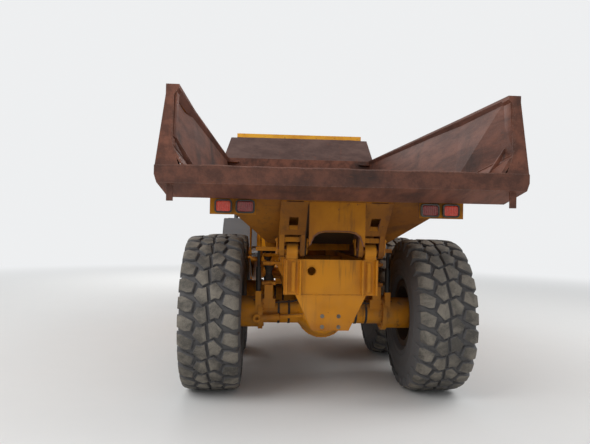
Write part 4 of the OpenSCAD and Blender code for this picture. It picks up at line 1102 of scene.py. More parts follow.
@dataclass
class HaulBody:
    """Weld seams, keepers, lamp housings and the worn edge of the tipping body."""

    front: float = -1.0
    knee: float = 3.65
    tail: float = 4.85
    rows: tuple = ((0.6, 1.56, 1.25, 2.12, 1.39, 3.03), (0.6, 1.56, 1.33, 2.18, 1.42, 2.88),
                   (1.29, 2.165, 1.4, 2.33, 1.395, 2.83))
    hinge: Point = (0.375, 4.0, 1.5)
    lamp_spans: tuple = ((0.728, 0.893), (0.923, 1.073))
    lamp_y: float = 4.46
    lamp_z: tuple = (1.832, 1.948)

    def section(self, y: float) -> list[float]:
        """Return the skin's half section at a place: floor, chine and top, each a width and a height."""
        first, second, third = self.rows
        if y < self.knee:
            a, b, t = first, second, (y - self.front) / (self.knee - self.front)
        else:
            a, b, t = second, third, (y - self.knee) / (self.tail - self.knee)
        return [p + (q - p) * t for p, q in zip(a, b)]

    def inner_line(self, corner: int, lift: float, start: float, end: float) -> list[Point]:
        """Return the points of a seam along an inner corner of the skin, lifted off it."""
        points = []
        for y in (start, min(max(self.knee, start), end), end):
            row = self.section(y)
            points.append((row[2 * corner] - lift, y, row[2 * corner + 1] + lift * 1.15))
        return points

    def seams(self) -> Piece:
        """Lay the beads of the inner corners, the ribs' feet and the hinge boxes."""
        start, end = self.front + 0.04, self.tail - 0.03
        beads = [bead(self.inner_line(0, 0.012, start, end)), bead(self.inner_line(1, 0.02, start, end))]
        hx, hy, _ = self.hinge
        for x in (hx - 0.127, hx + 0.127):
            low, high = self.section(3.84), self.section(4.43)
            beads.append(bead([(x, 3.86, low[1] + 0.09), (x, 4.42, high[1] - 0.002)]))
        for k in range(6):
            y = -0.38 + 0.76 * k
            row = self.section(y)
            for side in (-0.057, 0.057):
                beads.append(bead([(row[2] + 0.008, y + side, row[3] + 0.06),
                                   (row[4] + 0.002, y + side, row[5] - 0.1)], 0.006))
        return pair("body_weld_seams", beads)

    def gussets(self) -> Piece:
        """Model the slanting strip that braces the foot of each rear post inside the body."""
        row = self.section(4.72)
        foot, head = (row[2] - 0.11, 2.215), (row[2] - 0.005, 2.42)
        strip = cutout([(foot[0], 4.70, foot[1]), (foot[0] - 0.06, 4.70, foot[1] - 0.015),
                        (head[0] - 0.012, 4.70, head[1] + 0.02), (head[0], 4.70, head[1])], (0, 0.02, 0), 0.003)
        return both_sides(strip, "post_gussets")

    def post_plates(self) -> Piece:
        """Model the flat bars on the inner edge of the rear posts."""
        row = self.section(4.72)
        bar = cutout([(1.385, 4.716, 2.42), (1.372, 4.716, 2.42), (1.352, 4.716, row[5] - 0.06),
                      (1.368, 4.716, row[5] - 0.06)], (0, 0.118, 0), 0.003)
        return both_sides(bar, "post_bars")

    def lip_edge(self) -> Piece:
        """Model the worn round bar along the tail lip, dented where stone has struck it."""
        points = []
        for k in range(61):
            x = -1.5 + 0.05 * k
            dent = 0.007 * math.exp(-((x - 0.33) / 0.06) ** 2) + 0.004 * math.exp(-((x + 0.55) / 0.2) ** 2)
            wave = 0.002 * math.sin(7.3 * x) + 0.0015 * math.sin(19 * x + 1)
            points.append((x, 4.842, 2.186 + wave - dent))
        return Work.pipe("tail_lip_bar", points, 0.011, sides=2).done()

    def keepers(self) -> Piece:
        """Model the keeper plates that hold the hinge pins, with their bolts."""
        hx, hy, hz = self.hinge
        parts = []
        for x, way in ((hx + 0.137, 1), (hx - 0.137, -1)):
            low, high = sorted((x, x + 0.012 * way))
            plate = slab((low, hy - 0.035, hz + 0.03), (high, hy + 0.035, hz + 0.12), 0.004)
            head = bolt("head", 0.013, 0.013, (way, 0, 0))
            parts += [plate, repeated(head, [moved(x + 0.012 * way, hy, hz + 0.1)], "keeper_bolt")]
            cap = lathed([(0, 0), (0, 0.044), (0.008, 0.04), (0.01, 0.034), (0.01, 0)], (x - 0.002 * way, hy, hz),
                         (way, 0, 0), 32)
            parts.append(cap)
        return pair("hinge_pin_keepers", parts)

    def lamp_shape(self, low: Point, high: Point, corner: float) -> Work:
        """Start a lamp's rounded box from a cube whose upright edges are bevelled."""
        work = Work.box("lamp", low, high)
        work.all()
        bpy.ops.mesh.select_mode(type="EDGE")
        bpy.ops.mesh.select_all(action="DESELECT")
        for edge in work.cage().edges:
            a, b = (v.co for v in edge.verts)
            edge.select_set(abs(a.y - b.y) > 0.01)
        bmesh.update_edit_mesh(work.obj.data)
        work.bevel(corner, 4)
        bpy.ops.mesh.select_mode(type="FACE")
        return work

    def lamps(self) -> list[Piece]:
        """Model the tail lamps: black housings, dark red inner lenses and orange outer ones."""
        housings, lenses = [], []
        for x0, x1 in self.lamp_spans:
            low, high = (x0, self.lamp_y, self.lamp_z[0]), (x1, self.lamp_y + 0.032, self.lamp_z[1])
            housing = self.lamp_shape(low, high, 0.028)
            housing.pick(lambda c, n: n.y > 0.9).inset(0.013).extrude((0, -0.012, 0))
            housings.append(housing.done(0.0025))
            lens = self.lamp_shape((x0 + 0.013, self.lamp_y + 0.01, low[2] + 0.013),
                                   (x1 - 0.013, self.lamp_y + 0.03, high[2] - 0.013), 0.018)
            lens.pick(lambda c, n: n.y > 0.9).bevel(0.006, 2)
            for k in range(1, 8):
                lens.cut((x0 + 0.013 + (x1 - x0 - 0.026) * k / 8, 0, 0), (1, 0, 0))
            shell = lens.pick(lambda c, n: n.y > 0.95).inset(0.0016, 0.0022, each=True).done()
            lenses.append(shell)
        inner, outer = (both_sides(lens, name) for lens, name in zip(lenses, ("lens_inner", "lens_outer")))
        return [pair("tail_lamp_housings", housings), inner, outer]

    def headboard_hooks(self) -> Piece:
        """Model the ledges that the spill guard stands on at the headboard."""
        ledge = cutout([(1.385, -1.0, 2.94), (1.15, -1.0, 2.94), (1.13, -1.0, 2.96), (1.385, -1.0, 2.965)],
                       (0, 0.09, 0), 0.004)
        return both_sides(ledge, "headboard_ledges")

    def floor_arch(self) -> Piece:
        """Model the cross plate between the hinge boxes, whose lower edge is an arch with a rolled rim."""
        curve = [(0.25, 1.552), (0.238, 1.566), (0.228, 1.6), (0.205, 1.645), (0.165, 1.676), (0.11, 1.688),
                 (0.0, 1.69)]
        arch = curve + [(-x, z) for x, z in reversed(curve[:-1])]
        outline = [(x, 4.41, z) for x, z in [*arch, (-0.25, 1.95), (0.25, 1.95)]]
        plate = cutout(outline, (0, 0.014, 0), 0.0015, 1)
        rim = tube([(x, 4.418, z) for x, z in arch[1:-1]], 0.009, sides=2)
        return joined([plate, rim], "floor_arch")

    def build(self) -> None:
        """Build and dress the body's pieces."""
        for piece in (self.floor_arch(), self.seams(), self.gussets(), self.post_plates(), self.lip_edge(),
                      self.headboard_hooks()):
            settle(piece, "bed", "body_steel", Finish.BODY)
        settle(self.keepers(), "bed", "yellow_paint", Finish.AXLE)
        housings, inner, outer = self.lamps()
        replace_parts(settle(housings, "bed", "dark_paint", Finish.TRIM), "tail_lamps")
        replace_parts(settle(inner, "bed", "lamp_red", Finish.RED), "tail_lamps")
        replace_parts(settle(outer, "bed", "lamp_red", Finish.ORANGE), "tail_lamps")


# Rear chassis


@dataclass
class RearChassis:
    """Bolts, welds, rods and pipes of the rear frame and its axles."""

    plate_y: float = 4.06
    tow_bolts: tuple = ((0.078, 0.784), (0.078, 0.885))
    axle_z: float = AXLE_Z

    def tow_hardware(self) -> Piece:
        """Model the four bolts of the towing plate."""
        head = bolt("head", 0.0165, 0.011, (0, 1, 0), 1.25)
        return repeated(head, [moved(s * x, self.plate_y - 0.002, z) for s in (1, -1) for x, z in self.tow_bolts],
                        "tow_plate_bolts")

    def welds(self) -> Piece:
        """Lay the beads round the channels, the lugs and the towing plate."""
        y = self.plate_y + 0.001
        beads = [bead([(x, y, 1.095), (x, y, 1.405)], 0.0055) for x in (0.2865, 0.3035, 0.4165, 0.4335)]
        beads.append(bead([(0.32, y - 0.004, 1.422), (0.43, y - 0.004, 1.422)], 0.007))
        beads.append(bead([(0.001, y, 1.088), (0.336, y, 1.088)], 0.006))
        return pair("frame_weld_seams", beads)

    def hole_rim(self) -> Piece:
        """Model the rolled rim of the round hole in the rear plate."""
        return Work.turned("plate_hole_rim", [(-0.002, 0.0405), (-0.002, 0.05), (0.004, 0.05), (0.006, 0.046),
                                              (0.004, 0.0405)], (0.186, self.plate_y, 1.31), (0, 1, 0), 40).done()

    def channel_bars(self) -> Piece:
        """Model the flat bars that close the two upright channels of the rear plate."""
        bar = Work.box("bar", (0.334, self.plate_y, 1.11), (0.384, self.plate_y + 0.01, 1.4))
        bar.pick(lambda c, n: n.y > 0.9).inset(0.008).extrude((0, 0.012, 0))
        return both_sides(bar.done(0.002), "channel_bars")

    def side_rods(self) -> Piece:
        """Model the rod that holds the rear axle sideways, with its thick sleeve and its two eyes."""
        thick = lathed([(0, 0), (0, 0.03), (0.01, 0.038), (0.2, 0.038), (0.21, 0.03), (0.21, 0)], (0.67, 3.46, 0.765),
                       (-1, 0, 0.06), 28)
        thin = dowel((0.47, 3.46, 0.777), (0.2, 3.46, 0.795), 0.022, 20)
        eyes = [band((x, 3.46, z), (0, 1, 0), 0.035, 0.018, 0.046, 28, 0.003, 2)
                for x, z in ((0.7, 0.763), (0.175, 0.797))]
        return joined([thick, thin, *eyes], "side_rod")

    def flange(self, y: float) -> list[Piece]:
        """Model the bolted flange round one differential case."""
        ring = lathed([(-0.018, 0.235), (-0.018, 0.276), (0.014, 0.276), (0.014, 0.235)], (0, y, self.axle_z),
                      (0, 1, 0), 64, 0.003)
        heads = repeated(bolt("head", 0.0115, 0.013, (0, 1, 0)),
                         around((0, y + 0.013, self.axle_z), "Y", 18, math.pi / 18, (0, 0, 0.264)), "flange_bolts")
        plug = repeated(bolt("plug", 0.02, 0.02, (0, 1, 0)), [moved(0, y + 0.259, self.axle_z)], "filler_plug")
        return [ring, heads, plug]

    def end_bolts(self, y: float) -> Piece:
        """Model the ring of bolts where each axle end is fixed to its tube."""
        places = around((0.64, y, self.axle_z), "X", 14, 0.0, (0, 0, 0.148))
        return both_sides(repeated(bolt("head", 0.0125, 0.014, (-1, 0, 0)), places, "end_ring"), "end_bolts")

    def brake_pipes(self, y: float) -> Piece:
        """Run the brake pipes along an axle's tubes, with their clips."""
        pipe = tube([(0.16, y + 0.09, 1.03), (0.3, y + 0.075, 0.93), (0.6, y + 0.08, 0.912), (0.68, y + 0.12, 0.945),
                     (0.74, y + 0.12, 0.948)], 0.008, 0.04)
        clips = [band((x, y, self.axle_z), (1, 0, 0), 0.012, 0.1195, 0.1255, 40) for x in (0.36, 0.47)]
        return pair("brake_pipes", [pipe, *clips])

    def spring_bolts(self) -> Piece:
        """Model the rims and bolts of the plates that the rubber springs are bonded to."""
        parts = []
        for y in REAR_AXLES:
            for z, way in ((1.1395, 1), (1.3165, -1)):
                plate = lathed([(-0.003, 0.03), (-0.003, 0.068), (0.006, 0.068), (0.006, 0.03)], (0.58, y, z),
                               (0, 0, way), 32, 0.001, 1)
                parts.append(plate)
            spots = [moved(0.58 + dx, y + dy, 1.35) for dx in (-0.04, 0.04) for dy in (-0.05, 0.05)]
            parts.append(repeated(bolt("head", 0.012, 0.012, (0, 0, 1)), spots, "spring_bolts"))
        return pair("spring_plates", parts)

    def rail_pipes(self) -> Piece:
        """Run two steel pipes along the inside of each rail, held by clamps."""
        parts = []
        for z in (1.17, 1.205):
            parts.append(tube([(0.308, 0.25, z - 0.12), (0.308, 0.7, z), (0.308, 3.6, z)], 0.011, 0.1))
        for y in (0.95, 1.65, 2.2, 2.75, 3.4):
            parts.append(slab((0.29, y - 0.02, 1.145), (0.322, y + 0.02, 1.232), 0.006))
        return pair("rail_pipes", parts)

    def joint_crosses(self) -> Piece:
        """Model the forks and crosses at the ends of the driveshafts."""
        parts = []
        for y, way in ((-0.235, 1), (1.19, -1), (1.88, 1), (2.92, -1)):
            start = y + 0.03 * way
            for turn in (0, 1):
                reach = (0.062, 0, 0) if turn else (0, 0, 0.062)
                low = Vector((0, start + 0.05 * way, self.axle_z)) - Vector(reach)
                high = Vector((0, start + 0.05 * way, self.axle_z)) + Vector(reach)
                parts.append(dowel(low, high, 0.019, 16, 0.003, 1))
            fork = lathed([(0, 0.02), (0, 0.066), (0.02, 0.06), (0.03, 0.048), (0.1, 0.05), (0.115, 0.02)],
                          (0, start, self.axle_z), (0, way, 0), 24)
            parts.append(fork)
        return joined(parts, "driveshaft_joints")

    def build(self) -> None:
        """Build and dress the rear chassis's pieces."""
        settle(self.tow_hardware(), "rear_chassis", "yellow_paint", Finish.BOLT)
        flanges = joined([p for y in REAR_AXLES for p in (*self.flange(y), self.end_bolts(y))], "axle_case_bolts")
        pipes = joined([self.brake_pipes(y) for y in REAR_AXLES], "rear_brake_pipes")
        for piece in (self.welds(), self.hole_rim(), self.channel_bars(), self.side_rods(), flanges,
                      self.spring_bolts()):
            settle(piece, "rear_chassis", "yellow_paint", Finish.AXLE)
        for piece in (pipes, self.rail_pipes(), self.joint_crosses()):
            settle(piece, "rear_chassis", "dark_paint", Finish.DARK)


# Cab


@dataclass
class Cab:
    """Glass seals, lamps, rails, seat and controls of the cab."""

    front: float = -3.44
    rear: float = -1.91
    roof: float = 3.47
    floor: float = 1.94
    seat_y: float = -2.39

    def screen(self, z: float) -> float:
        """Return where the windscreen's outer face is at a height."""
        return -3.42 + (z - 2.26) * 0.15 / 1.14

    def seals(self) -> Piece:
        """Run rubber seals round the fixed windows."""
        low, high = self.screen(2.352), self.screen(3.248)
        loops = [[(-0.678, low - 0.002, 2.354), (0.678, low - 0.002, 2.354), (0.678, high - 0.002, 3.246),
                  (-0.678, high - 0.002, 3.246)],
                 planar(1, self.rear - 0.021, (-0.628, 2.454), (0.628, 2.454), (0.628, 3.246), (-0.628, 3.246)),
                 planar(0, -0.759, (-2.968, 2.414), (-2.152, 2.414), (-2.152, 3.246), (-2.968, 3.246))]
        for side in (1, -1):
            loops.append(planar(0, 0.759 * side, (-3.315, 2.453), (-3.088, 2.394), (-3.088, 3.246), (-3.218, 3.246)))
        pipes = [tube(self.closed(loop), 0.009, 0.03, 2) for loop in loops]
        return joined(pipes, "window_seals")

    def closed(self, loop: Sequence[Point]) -> list[Point]:
        """Return a loop's corners from the middle of one side round to the same place."""
        start = tuple((a + b) / 2 for a, b in zip(loop[0], loop[1]))
        return [start, *loop[1:], loop[0], start]

    def door_trim(self) -> Piece:
        """Model the door's inner seal, its glass's seal and its latch."""
        x = 0.7625
        ring = self.closed([(x, -2.914, 2.153), (x, -2.186, 2.153), (x, -2.186, 3.254), (x, -2.914, 3.254)])
        seal = tube(ring, 0.008, 0.03, 2)
        frame_line = self.closed(planar(0, 0.7375, (-2.99, 1.97), (-2.11, 1.97), (-2.11, 3.33), (-2.99, 3.33)))
        rubber = tube(frame_line, 0.007, 0.03, 2)
        plate = slab((0.779, -2.178, 1.995), (0.784, -2.128, 2.165), 0.003)
        lock = lathed([(0, 0), (0, 0.014), (0.006, 0.013), (0.007, 0)], (0.783, -2.153, 2.19), (1, 0, 0), 24)
        return joined([seal, rubber, plate, lock], "door_trim")

    def wiper(self) -> Piece:
        """Model the windscreen wiper, parked upright."""
        y0, y1 = self.screen(2.36) - 0.035, self.screen(2.95) - 0.022
        arm = tube([(0.1, y0, 2.31), (0.12, y0, 2.4), (0.3, y1, 2.95)], 0.006, 0.03, 2)
        pivot = dowel((0.1, y0 + 0.03, 2.31), (0.1, y0 - 0.01, 2.31), 0.018, 20, 0.004)
        blade = cutout([(0.13, self.screen(2.5) - 0.012, 2.5), (0.142, self.screen(2.5) - 0.012, 2.5),
                        (0.452, self.screen(3.18) - 0.012, 3.18), (0.44, self.screen(3.18) - 0.012, 3.18)],
                       (0, 0.011, 0), 0.001)
        return joined([arm, pivot, blade], "screen_wiper")

    def visor(self) -> Piece:
        """Model the roof's front visor, a bent sheet with a turned-down edge."""
        sheet = Work.prism("visor", planar(0, -0.74, (-3.295, 3.398), (-3.46, 3.352), (-3.476, 3.318),
                                           (-3.464, 3.316), (-3.452, 3.342), (-3.29, 3.386)),
                           (1.48, 0, 0)).done(0.003)
        return paint(sheet, Finish.CAB)

    def work_lamp(self, place: Point, way: float) -> tuple[Piece, Piece]:
        """Model one square work lamp.

        Args:
            place: Where its bracket stands.
            way: 1 if it shines to the rear and -1 to the front.

        Returns:
            The housing with its bracket, and the lens.
        """
        x, y, z = place
        low, high = sorted((y + 0.012 * way, y + 0.07 * way))
        shell = Work.box("shell", (x - 0.06, low, z + 0.03), (x + 0.06, high, z + 0.125))
        shell.pick(lambda c, n: n.y * way < -0.9).grow((0.6, 1, 0.6), (x, y, z + 0.08))
        shell = shell.pick(lambda c, n: n.y * way > 0.9).inset(0.009).extrude((0, -0.014 * way, 0)).done(0.004)
        foot = cutout(planar(1, y + 0.035 * way, (x - 0.03, z), (x + 0.03, z), (x + 0.012, z + 0.04),
                             (x - 0.012, z + 0.04)), (0, 0.012 * way, 0), 0.002)
        lens = slab((x - 0.05, high - 0.012 if way > 0 else low + 0.004, z + 0.04),
                    (x + 0.05, high - 0.004 if way > 0 else low + 0.012, z + 0.115), 0.003)
        return joined([shell, foot], "work_lamp"), lens

    def lamps(self) -> None:
        """Stand four work lamps on the roof, and the beacon behind them."""
        places = [((0.62, -3.19, self.roof - 0.004), -1), ((-0.62, -3.19, self.roof - 0.004), -1),
                  ((0.62, -1.99, self.roof - 0.004), 1), ((-0.62, -1.99, self.roof - 0.004), 1)]
        housings, lenses = zip(*(self.work_lamp(place, way) for place, way in places))
        settle(joined(housings, "work_lamp_housings"), "tractor", "dark_paint", Finish.TRIM)
        settle(joined(lenses, "work_lamp_lenses"), "tractor", "lamp_clear", Finish.CLEAR)
        base = Work.turned("beacon_base", [(0, 0), (0, 0.062), (0.02, 0.06), (0.028, 0.05), (0.028, 0)],
                           (-0.42, -2.2, self.roof - 0.002), (0, 0, 1), 36).done()
        dome = Work.turned("beacon_dome", [(0.026, 0), (0.026, 0.048), (0.075, 0.046), (0.096, 0.036), (0.106, 0.018),
                                           (0.108, 0)], (-0.42, -2.2, self.roof - 0.002), (0, 0, 1), 36).done()
        settle(base, "tractor", "dark_paint", Finish.TRIM)
        settle(dome, "tractor", "lamp_red", Finish.AMBER)

    def roof_unit(self) -> Piece:
        """Model the air-conditioning cover on the roof, with its slats."""
        cover = Work.box("cover", (-0.3, -3.0, self.roof - 0.004), (0.3, -2.42, self.roof + 0.075))
        cover = cover.pick(lambda c, n: n.z > 0.9).grow((0.9, 0.88, 1), (0, -2.71, 0)).done(0.018, 3)
        slats = [slab((-0.2, -2.9 + 0.05 * k, self.roof + 0.073), (0.2, -2.872 + 0.05 * k, self.roof + 0.083), 0.003)
                 for k in range(8)]
        return joined([cover, *slats], "roof_unit")

    def grips(self) -> Piece:
        """Model the grab rails on the door's rear post and beside the windscreen."""
        rear = tube([(0.775, -2.0, 2.1), (0.845, -2.0, 2.1), (0.845, -2.0, 3.0), (0.775, -2.0, 3.0)], 0.015, 0.05)
        front = tube([(0.775, -3.05, 2.35), (0.83, -3.065, 2.35), (0.83, -3.065, 2.95), (0.775, -3.05, 2.95)], 0.013,
                     0.04)
        return joined([rear, front], "cab_grab_rails")

    def panel_details(self) -> Piece:
        """Model the cab's roof gutter, rear vent and bolt heads."""
        gutter = tube([(0.782, -3.2, 3.435), (0.786, -2.9, 3.44), (0.786, -2.0, 3.44), (0.782, -1.95, 3.43)], 0.008,
                      0.03, 2)
        vent = [slab((0.35, self.rear - 0.004, 2.12 + 0.035 * k), (0.62, self.rear + 0.01, 2.14 + 0.035 * k), 0.003)
                for k in range(6)]
        spots = [moved(x, self.rear, z) for x in (0.12, 0.3, 0.7) for z in (2.0, 2.34)]
        heads = repeated(bolt("head", 0.012, 0.01, (0, 1, 0)), spots, "heads")
        return pair("cab_panel_details", [gutter, *vent, heads])

    def cushion(self, name: str, outline: Sequence[tuple[float, float]], half: float, crown: float) -> Piece:
        """Model a crowned cushion from its side outline.

        Args:
            name: The cushion's name.
            outline: The corners of its side, each a place and a height.
            half: Half its width.
            crown: How far its faces bulge.

        Returns:
            The cushion, with a welt round each side.
        """
        work = Work.prism(name, [(-half, y, z) for y, z in outline], (2 * half, 0, 0))
        for k in range(1, 8):
            work.cut((-half + 2 * half * k / 8, 0, 0), (1, 0, 0))
        low, high = min(y for y, _ in outline), max(y for y, _ in outline)
        for k in range(1, 7):
            work.cut((0, low + (high - low) * k / 7, 0), (0, 1, 0))
        obj = work.done()
        soften(obj, 0.028, 4, 40.0)
        obj.data.update()
        for point in obj.data.vertices:
            across = 1 - (point.co.x / half) ** 2
            along = math.sin(math.pi * min(max((point.co.y - low) / (high - low), 0), 1))
            point.co += point.normal * crown * max(across, 0.0) * (0.35 + 0.65 * along)
        activate(obj)
        bpy.ops.object.shade_smooth()
        welts = [tube([(side * (half - 0.012), y, z) for y, z in (*outline, outline[0])], 0.006, 0.03, 2)
                 for side in (1, -1)]
        return joined([obj, *welts], name)

    def seat(self) -> None:
        """Model the driver's seat: cushions, head rest, arm rests and the bellows of its base."""
        y, z = self.seat_y, self.floor
        bottom = self.cushion("seat_cushion", [(y - 0.25, z + 0.25), (y + 0.22, z + 0.235), (y + 0.225, z + 0.325),
                                               (y - 0.21, z + 0.352), (y - 0.25, z + 0.325)], 0.245, 0.012)
        back = self.cushion("seat_back", [(y + 0.14, z + 0.34), (y + 0.245, z + 0.32), (y + 0.335, z + 0.72),
                                          (y + 0.3, z + 0.745), (y + 0.235, z + 0.735)], 0.235, 0.012)
        head = self.cushion("head_rest", [(y + 0.238, z + 0.77), (y + 0.305, z + 0.762), (y + 0.338, z + 0.93),
                                          (y + 0.318, z + 0.955), (y + 0.268, z + 0.945)], 0.14, 0.008)
        for piece in (bottom, back, head):
            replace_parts(settle(piece, "tractor", "seat_fabric", Finish.CLOTH), "driver_seat")
        folds = [(0.012 * k, (0.125 if k % 2 else 0.108)) for k in range(14)]
        bellows = Work.turned("seat_bellows",
                              [(0.03, 0), (0.03, 0.1), *[(0.04 + a, r) for a, r in folds], (0.205, 0.11), (0.205, 0)],
                              (0, y, z), (0, 0, 1), 4)
        bellows = bellows.all().grow((1.25, 1.45, 1), (0, y, z)).done(0.002, 1)
        rails = [slab((s * 0.13 - 0.02, y - 0.2, z), (s * 0.13 + 0.02, y + 0.2, z + 0.032), 0.003) for s in (1, -1)]
        pan = slab((-0.2, y - 0.2, z + 0.202), (0.2, y + 0.2, z + 0.245), 0.008)
        arms = [slab((s * 0.275 - 0.03, y - 0.12, z + 0.5), (s * 0.275 + 0.03, y + 0.2, z + 0.54), 0.014, 3)
                for s in (1, -1)]
        links = [tube([(s * 0.225, y + 0.235, z + 0.46), (s * 0.275, y + 0.22, z + 0.5),
                       (s * 0.275, y + 0.15, z + 0.515)], 0.014, 0.02) for s in (1, -1)]
        stems = [dowel((s * 0.06, y + 0.31, z + 0.7), (s * 0.06, y + 0.3, z + 0.8), 0.007, 12) for s in (1, -1)]
        frame_piece = joined([bellows, *rails, pan, *arms, *links, *stems], "seat_frame")
        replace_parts(settle(frame_piece, "tractor", "dark_paint", Finish.TRIM), "driver_seat")

    def controls(self) -> None:
        """Model the instrument binnacle, the switches, the pedals and the side console with its lever."""
        y, z = self.front + 0.055, self.floor
        hood = Work.prism("hood", planar(0, -0.2, (y + 0.12, z + 0.435), (y + 0.3, z + 0.45), (y + 0.31, z + 0.56),
                                         (y + 0.2, z + 0.6), (y + 0.12, z + 0.56)), (0.4, 0, 0))
        hood = hood.pick(lambda c, n: n.y > 0.8).inset(0.012).extrude((0, -0.015, 0.001)).done(0.01, 3)
        pads = [slab((0.24 + 0.05 * k, y + 0.09, z + 0.441), (0.275 + 0.05 * k, y + 0.115, z + 0.455), 0.003)
                for k in range(6)]
        vents = [lathed([(0, 0.02), (0, 0.045), (0.012, 0.045), (0.014, 0.038), (0.006, 0.02)],
                        (x, y + 0.16, z + 0.443), (0, 0.1, 1), 28) for x in (-0.5, 0.5)]
        pedals = [cutout([(x - 0.05, y + 0.2, z + 0.04), (x + 0.05, y + 0.2, z + 0.04),
                          (x + 0.04, y + 0.33, z + 0.16), (x - 0.04, y + 0.33, z + 0.16)], (0, -0.012, 0.012), 0.003)
                  for x in (-0.16, 0.14)]
        console = cutout(planar(0, -0.33, (y + 0.62, z), (y + 1.3, z), (y + 1.3, z + 0.42), (y + 0.75, z + 0.45),
                                (y + 0.62, z + 0.38)), (-0.2, 0, 0), 0.014, 3)
        stalk = tube([(-0.43, y + 0.85, z + 0.43), (-0.43, y + 0.83, z + 0.52)], 0.009)
        knob = lathed([(0, 0), (0.004, 0.02), (0.03, 0.026), (0.055, 0.02), (0.062, 0)], (-0.43, y + 0.832, z + 0.5),
                      (0, -0.2, 1), 24)
        settle(joined([hood, *pads, *vents, *pedals, console, stalk, knob], "cab_controls"), "tractor", "dark_paint",
               Finish.TRIM)
        screen_face = Work.box("panel", (-0.17, y + 0.285, z + 0.462), (0.17, y + 0.294, z + 0.55)).done(0.002)
        settle(screen_face, "tractor", "cab_glass", Finish.GLASS)

    def build(self) -> None:
        """Build and dress the cab's pieces."""
        settle(self.seals(), "tractor", "tyre_rubber", Finish.TRIM)
        settle(self.door_trim(), "door", "tyre_rubber", Finish.TRIM)
        settle(self.wiper(), "tractor", "dark_paint", Finish.TRIM)
        for piece in (self.visor(), self.roof_unit(), self.panel_details()):
            settle(piece, "tractor", "yellow_paint", Finish.CAB)
        settle(self.grips(), "tractor", "dark_paint", Finish.DARK)
        self.lamps()
        self.seat()
        self.controls()


# Hood and nose


@dataclass
class HoodDress:
    """Louvre blades, mesh, latches and handle of the hood."""

    front: float = -4.77

    def blades(self) -> Piece:
        """Model the slanting blades in the side openings."""
        blade = cutout([(0.6, 0.006, 0), (0.602, 0.001, 0), (0.622, 0.052, 0), (0.62, 0.057, 0)], (0, 0, 0.36),
                       0.0006, 1)
        row = repeated(blade, [moved(0, -4.442 + 0.11 * k + 0.018 * j - 0.02, 1.48) for k in range(7)
                               for j in (0, 1)], "blades")
        return both_sides(row, "hood_louvre_blades")

    def mesh(self) -> Piece:
        """Model the wire mesh behind the grille's bars."""
        wires = [slab((-0.43 + 0.0215 * k, -4.751, 1.402), (-0.428 + 0.0215 * k, -4.749, 1.838))
                 for k in range(1, 40)]
        wires += [slab((-0.43, -4.749, 1.4 + 0.022 * k), (0.43, -4.747, 1.402 + 0.022 * k)) for k in range(1, 20)]
        return joined(wires, "grille_mesh")

    def surround(self) -> Piece:
        """Model the grille's raised frame and the hood's side swages."""
        back, face = self.front - 0.012, self.front + 0.002
        sides = ((-0.46, 0.46, 1.385, 1.402), (-0.46, 0.46, 1.838, 1.855), (-0.46, -0.43, 1.385, 1.855),
                 (0.43, 0.46, 1.385, 1.855))
        bars = [slab((x0, back, z0), (x1, face, z1), 0.004) for x0, x1, z0, z1 in sides]
        for s in (1, -1):
            low, high = sorted((s * 0.618, s * 0.63))
            bars.append(slab((low, -4.62, 1.4), (high, -3.52, 1.425), 0.005))
        return joined(bars, "hood_surround")

    def latches(self) -> Piece:
        """Model the rubber latches at the hood's rear and the handle on its front."""
        catch = [slab((0.618, -3.56, 1.33), (0.628, -3.5, 1.38), 0.003),
                 tube([(0.634, -3.53, 1.375), (0.64, -3.53, 1.34), (0.634, -3.53, 1.3)], 0.009),
                 slab((0.63, -3.55, 1.378), (0.646, -3.51, 1.39), 0.004)]
        catches = pair("catches", catch)
        handle = tube([(-0.14, self.front + 0.1, 1.96), (-0.14, self.front + 0.05, 1.99),
                       (0.14, self.front + 0.05, 1.99), (0.14, self.front + 0.1, 1.96)], 0.01, 0.03)
        return joined([catches, handle], "hood_latches")

    def build(self) -> None:
        """Build and dress the hood's pieces."""
        settle(self.blades(), "hood_cover", "yellow_paint", Finish.CAB)
        settle(self.surround(), "hood_cover", "yellow_paint", Finish.CAB)
        settle(self.mesh(), "hood_cover", "dark_paint", Finish.DARK)
        settle(self.latches(), "hood_cover", "dark_paint", Finish.TRIM)


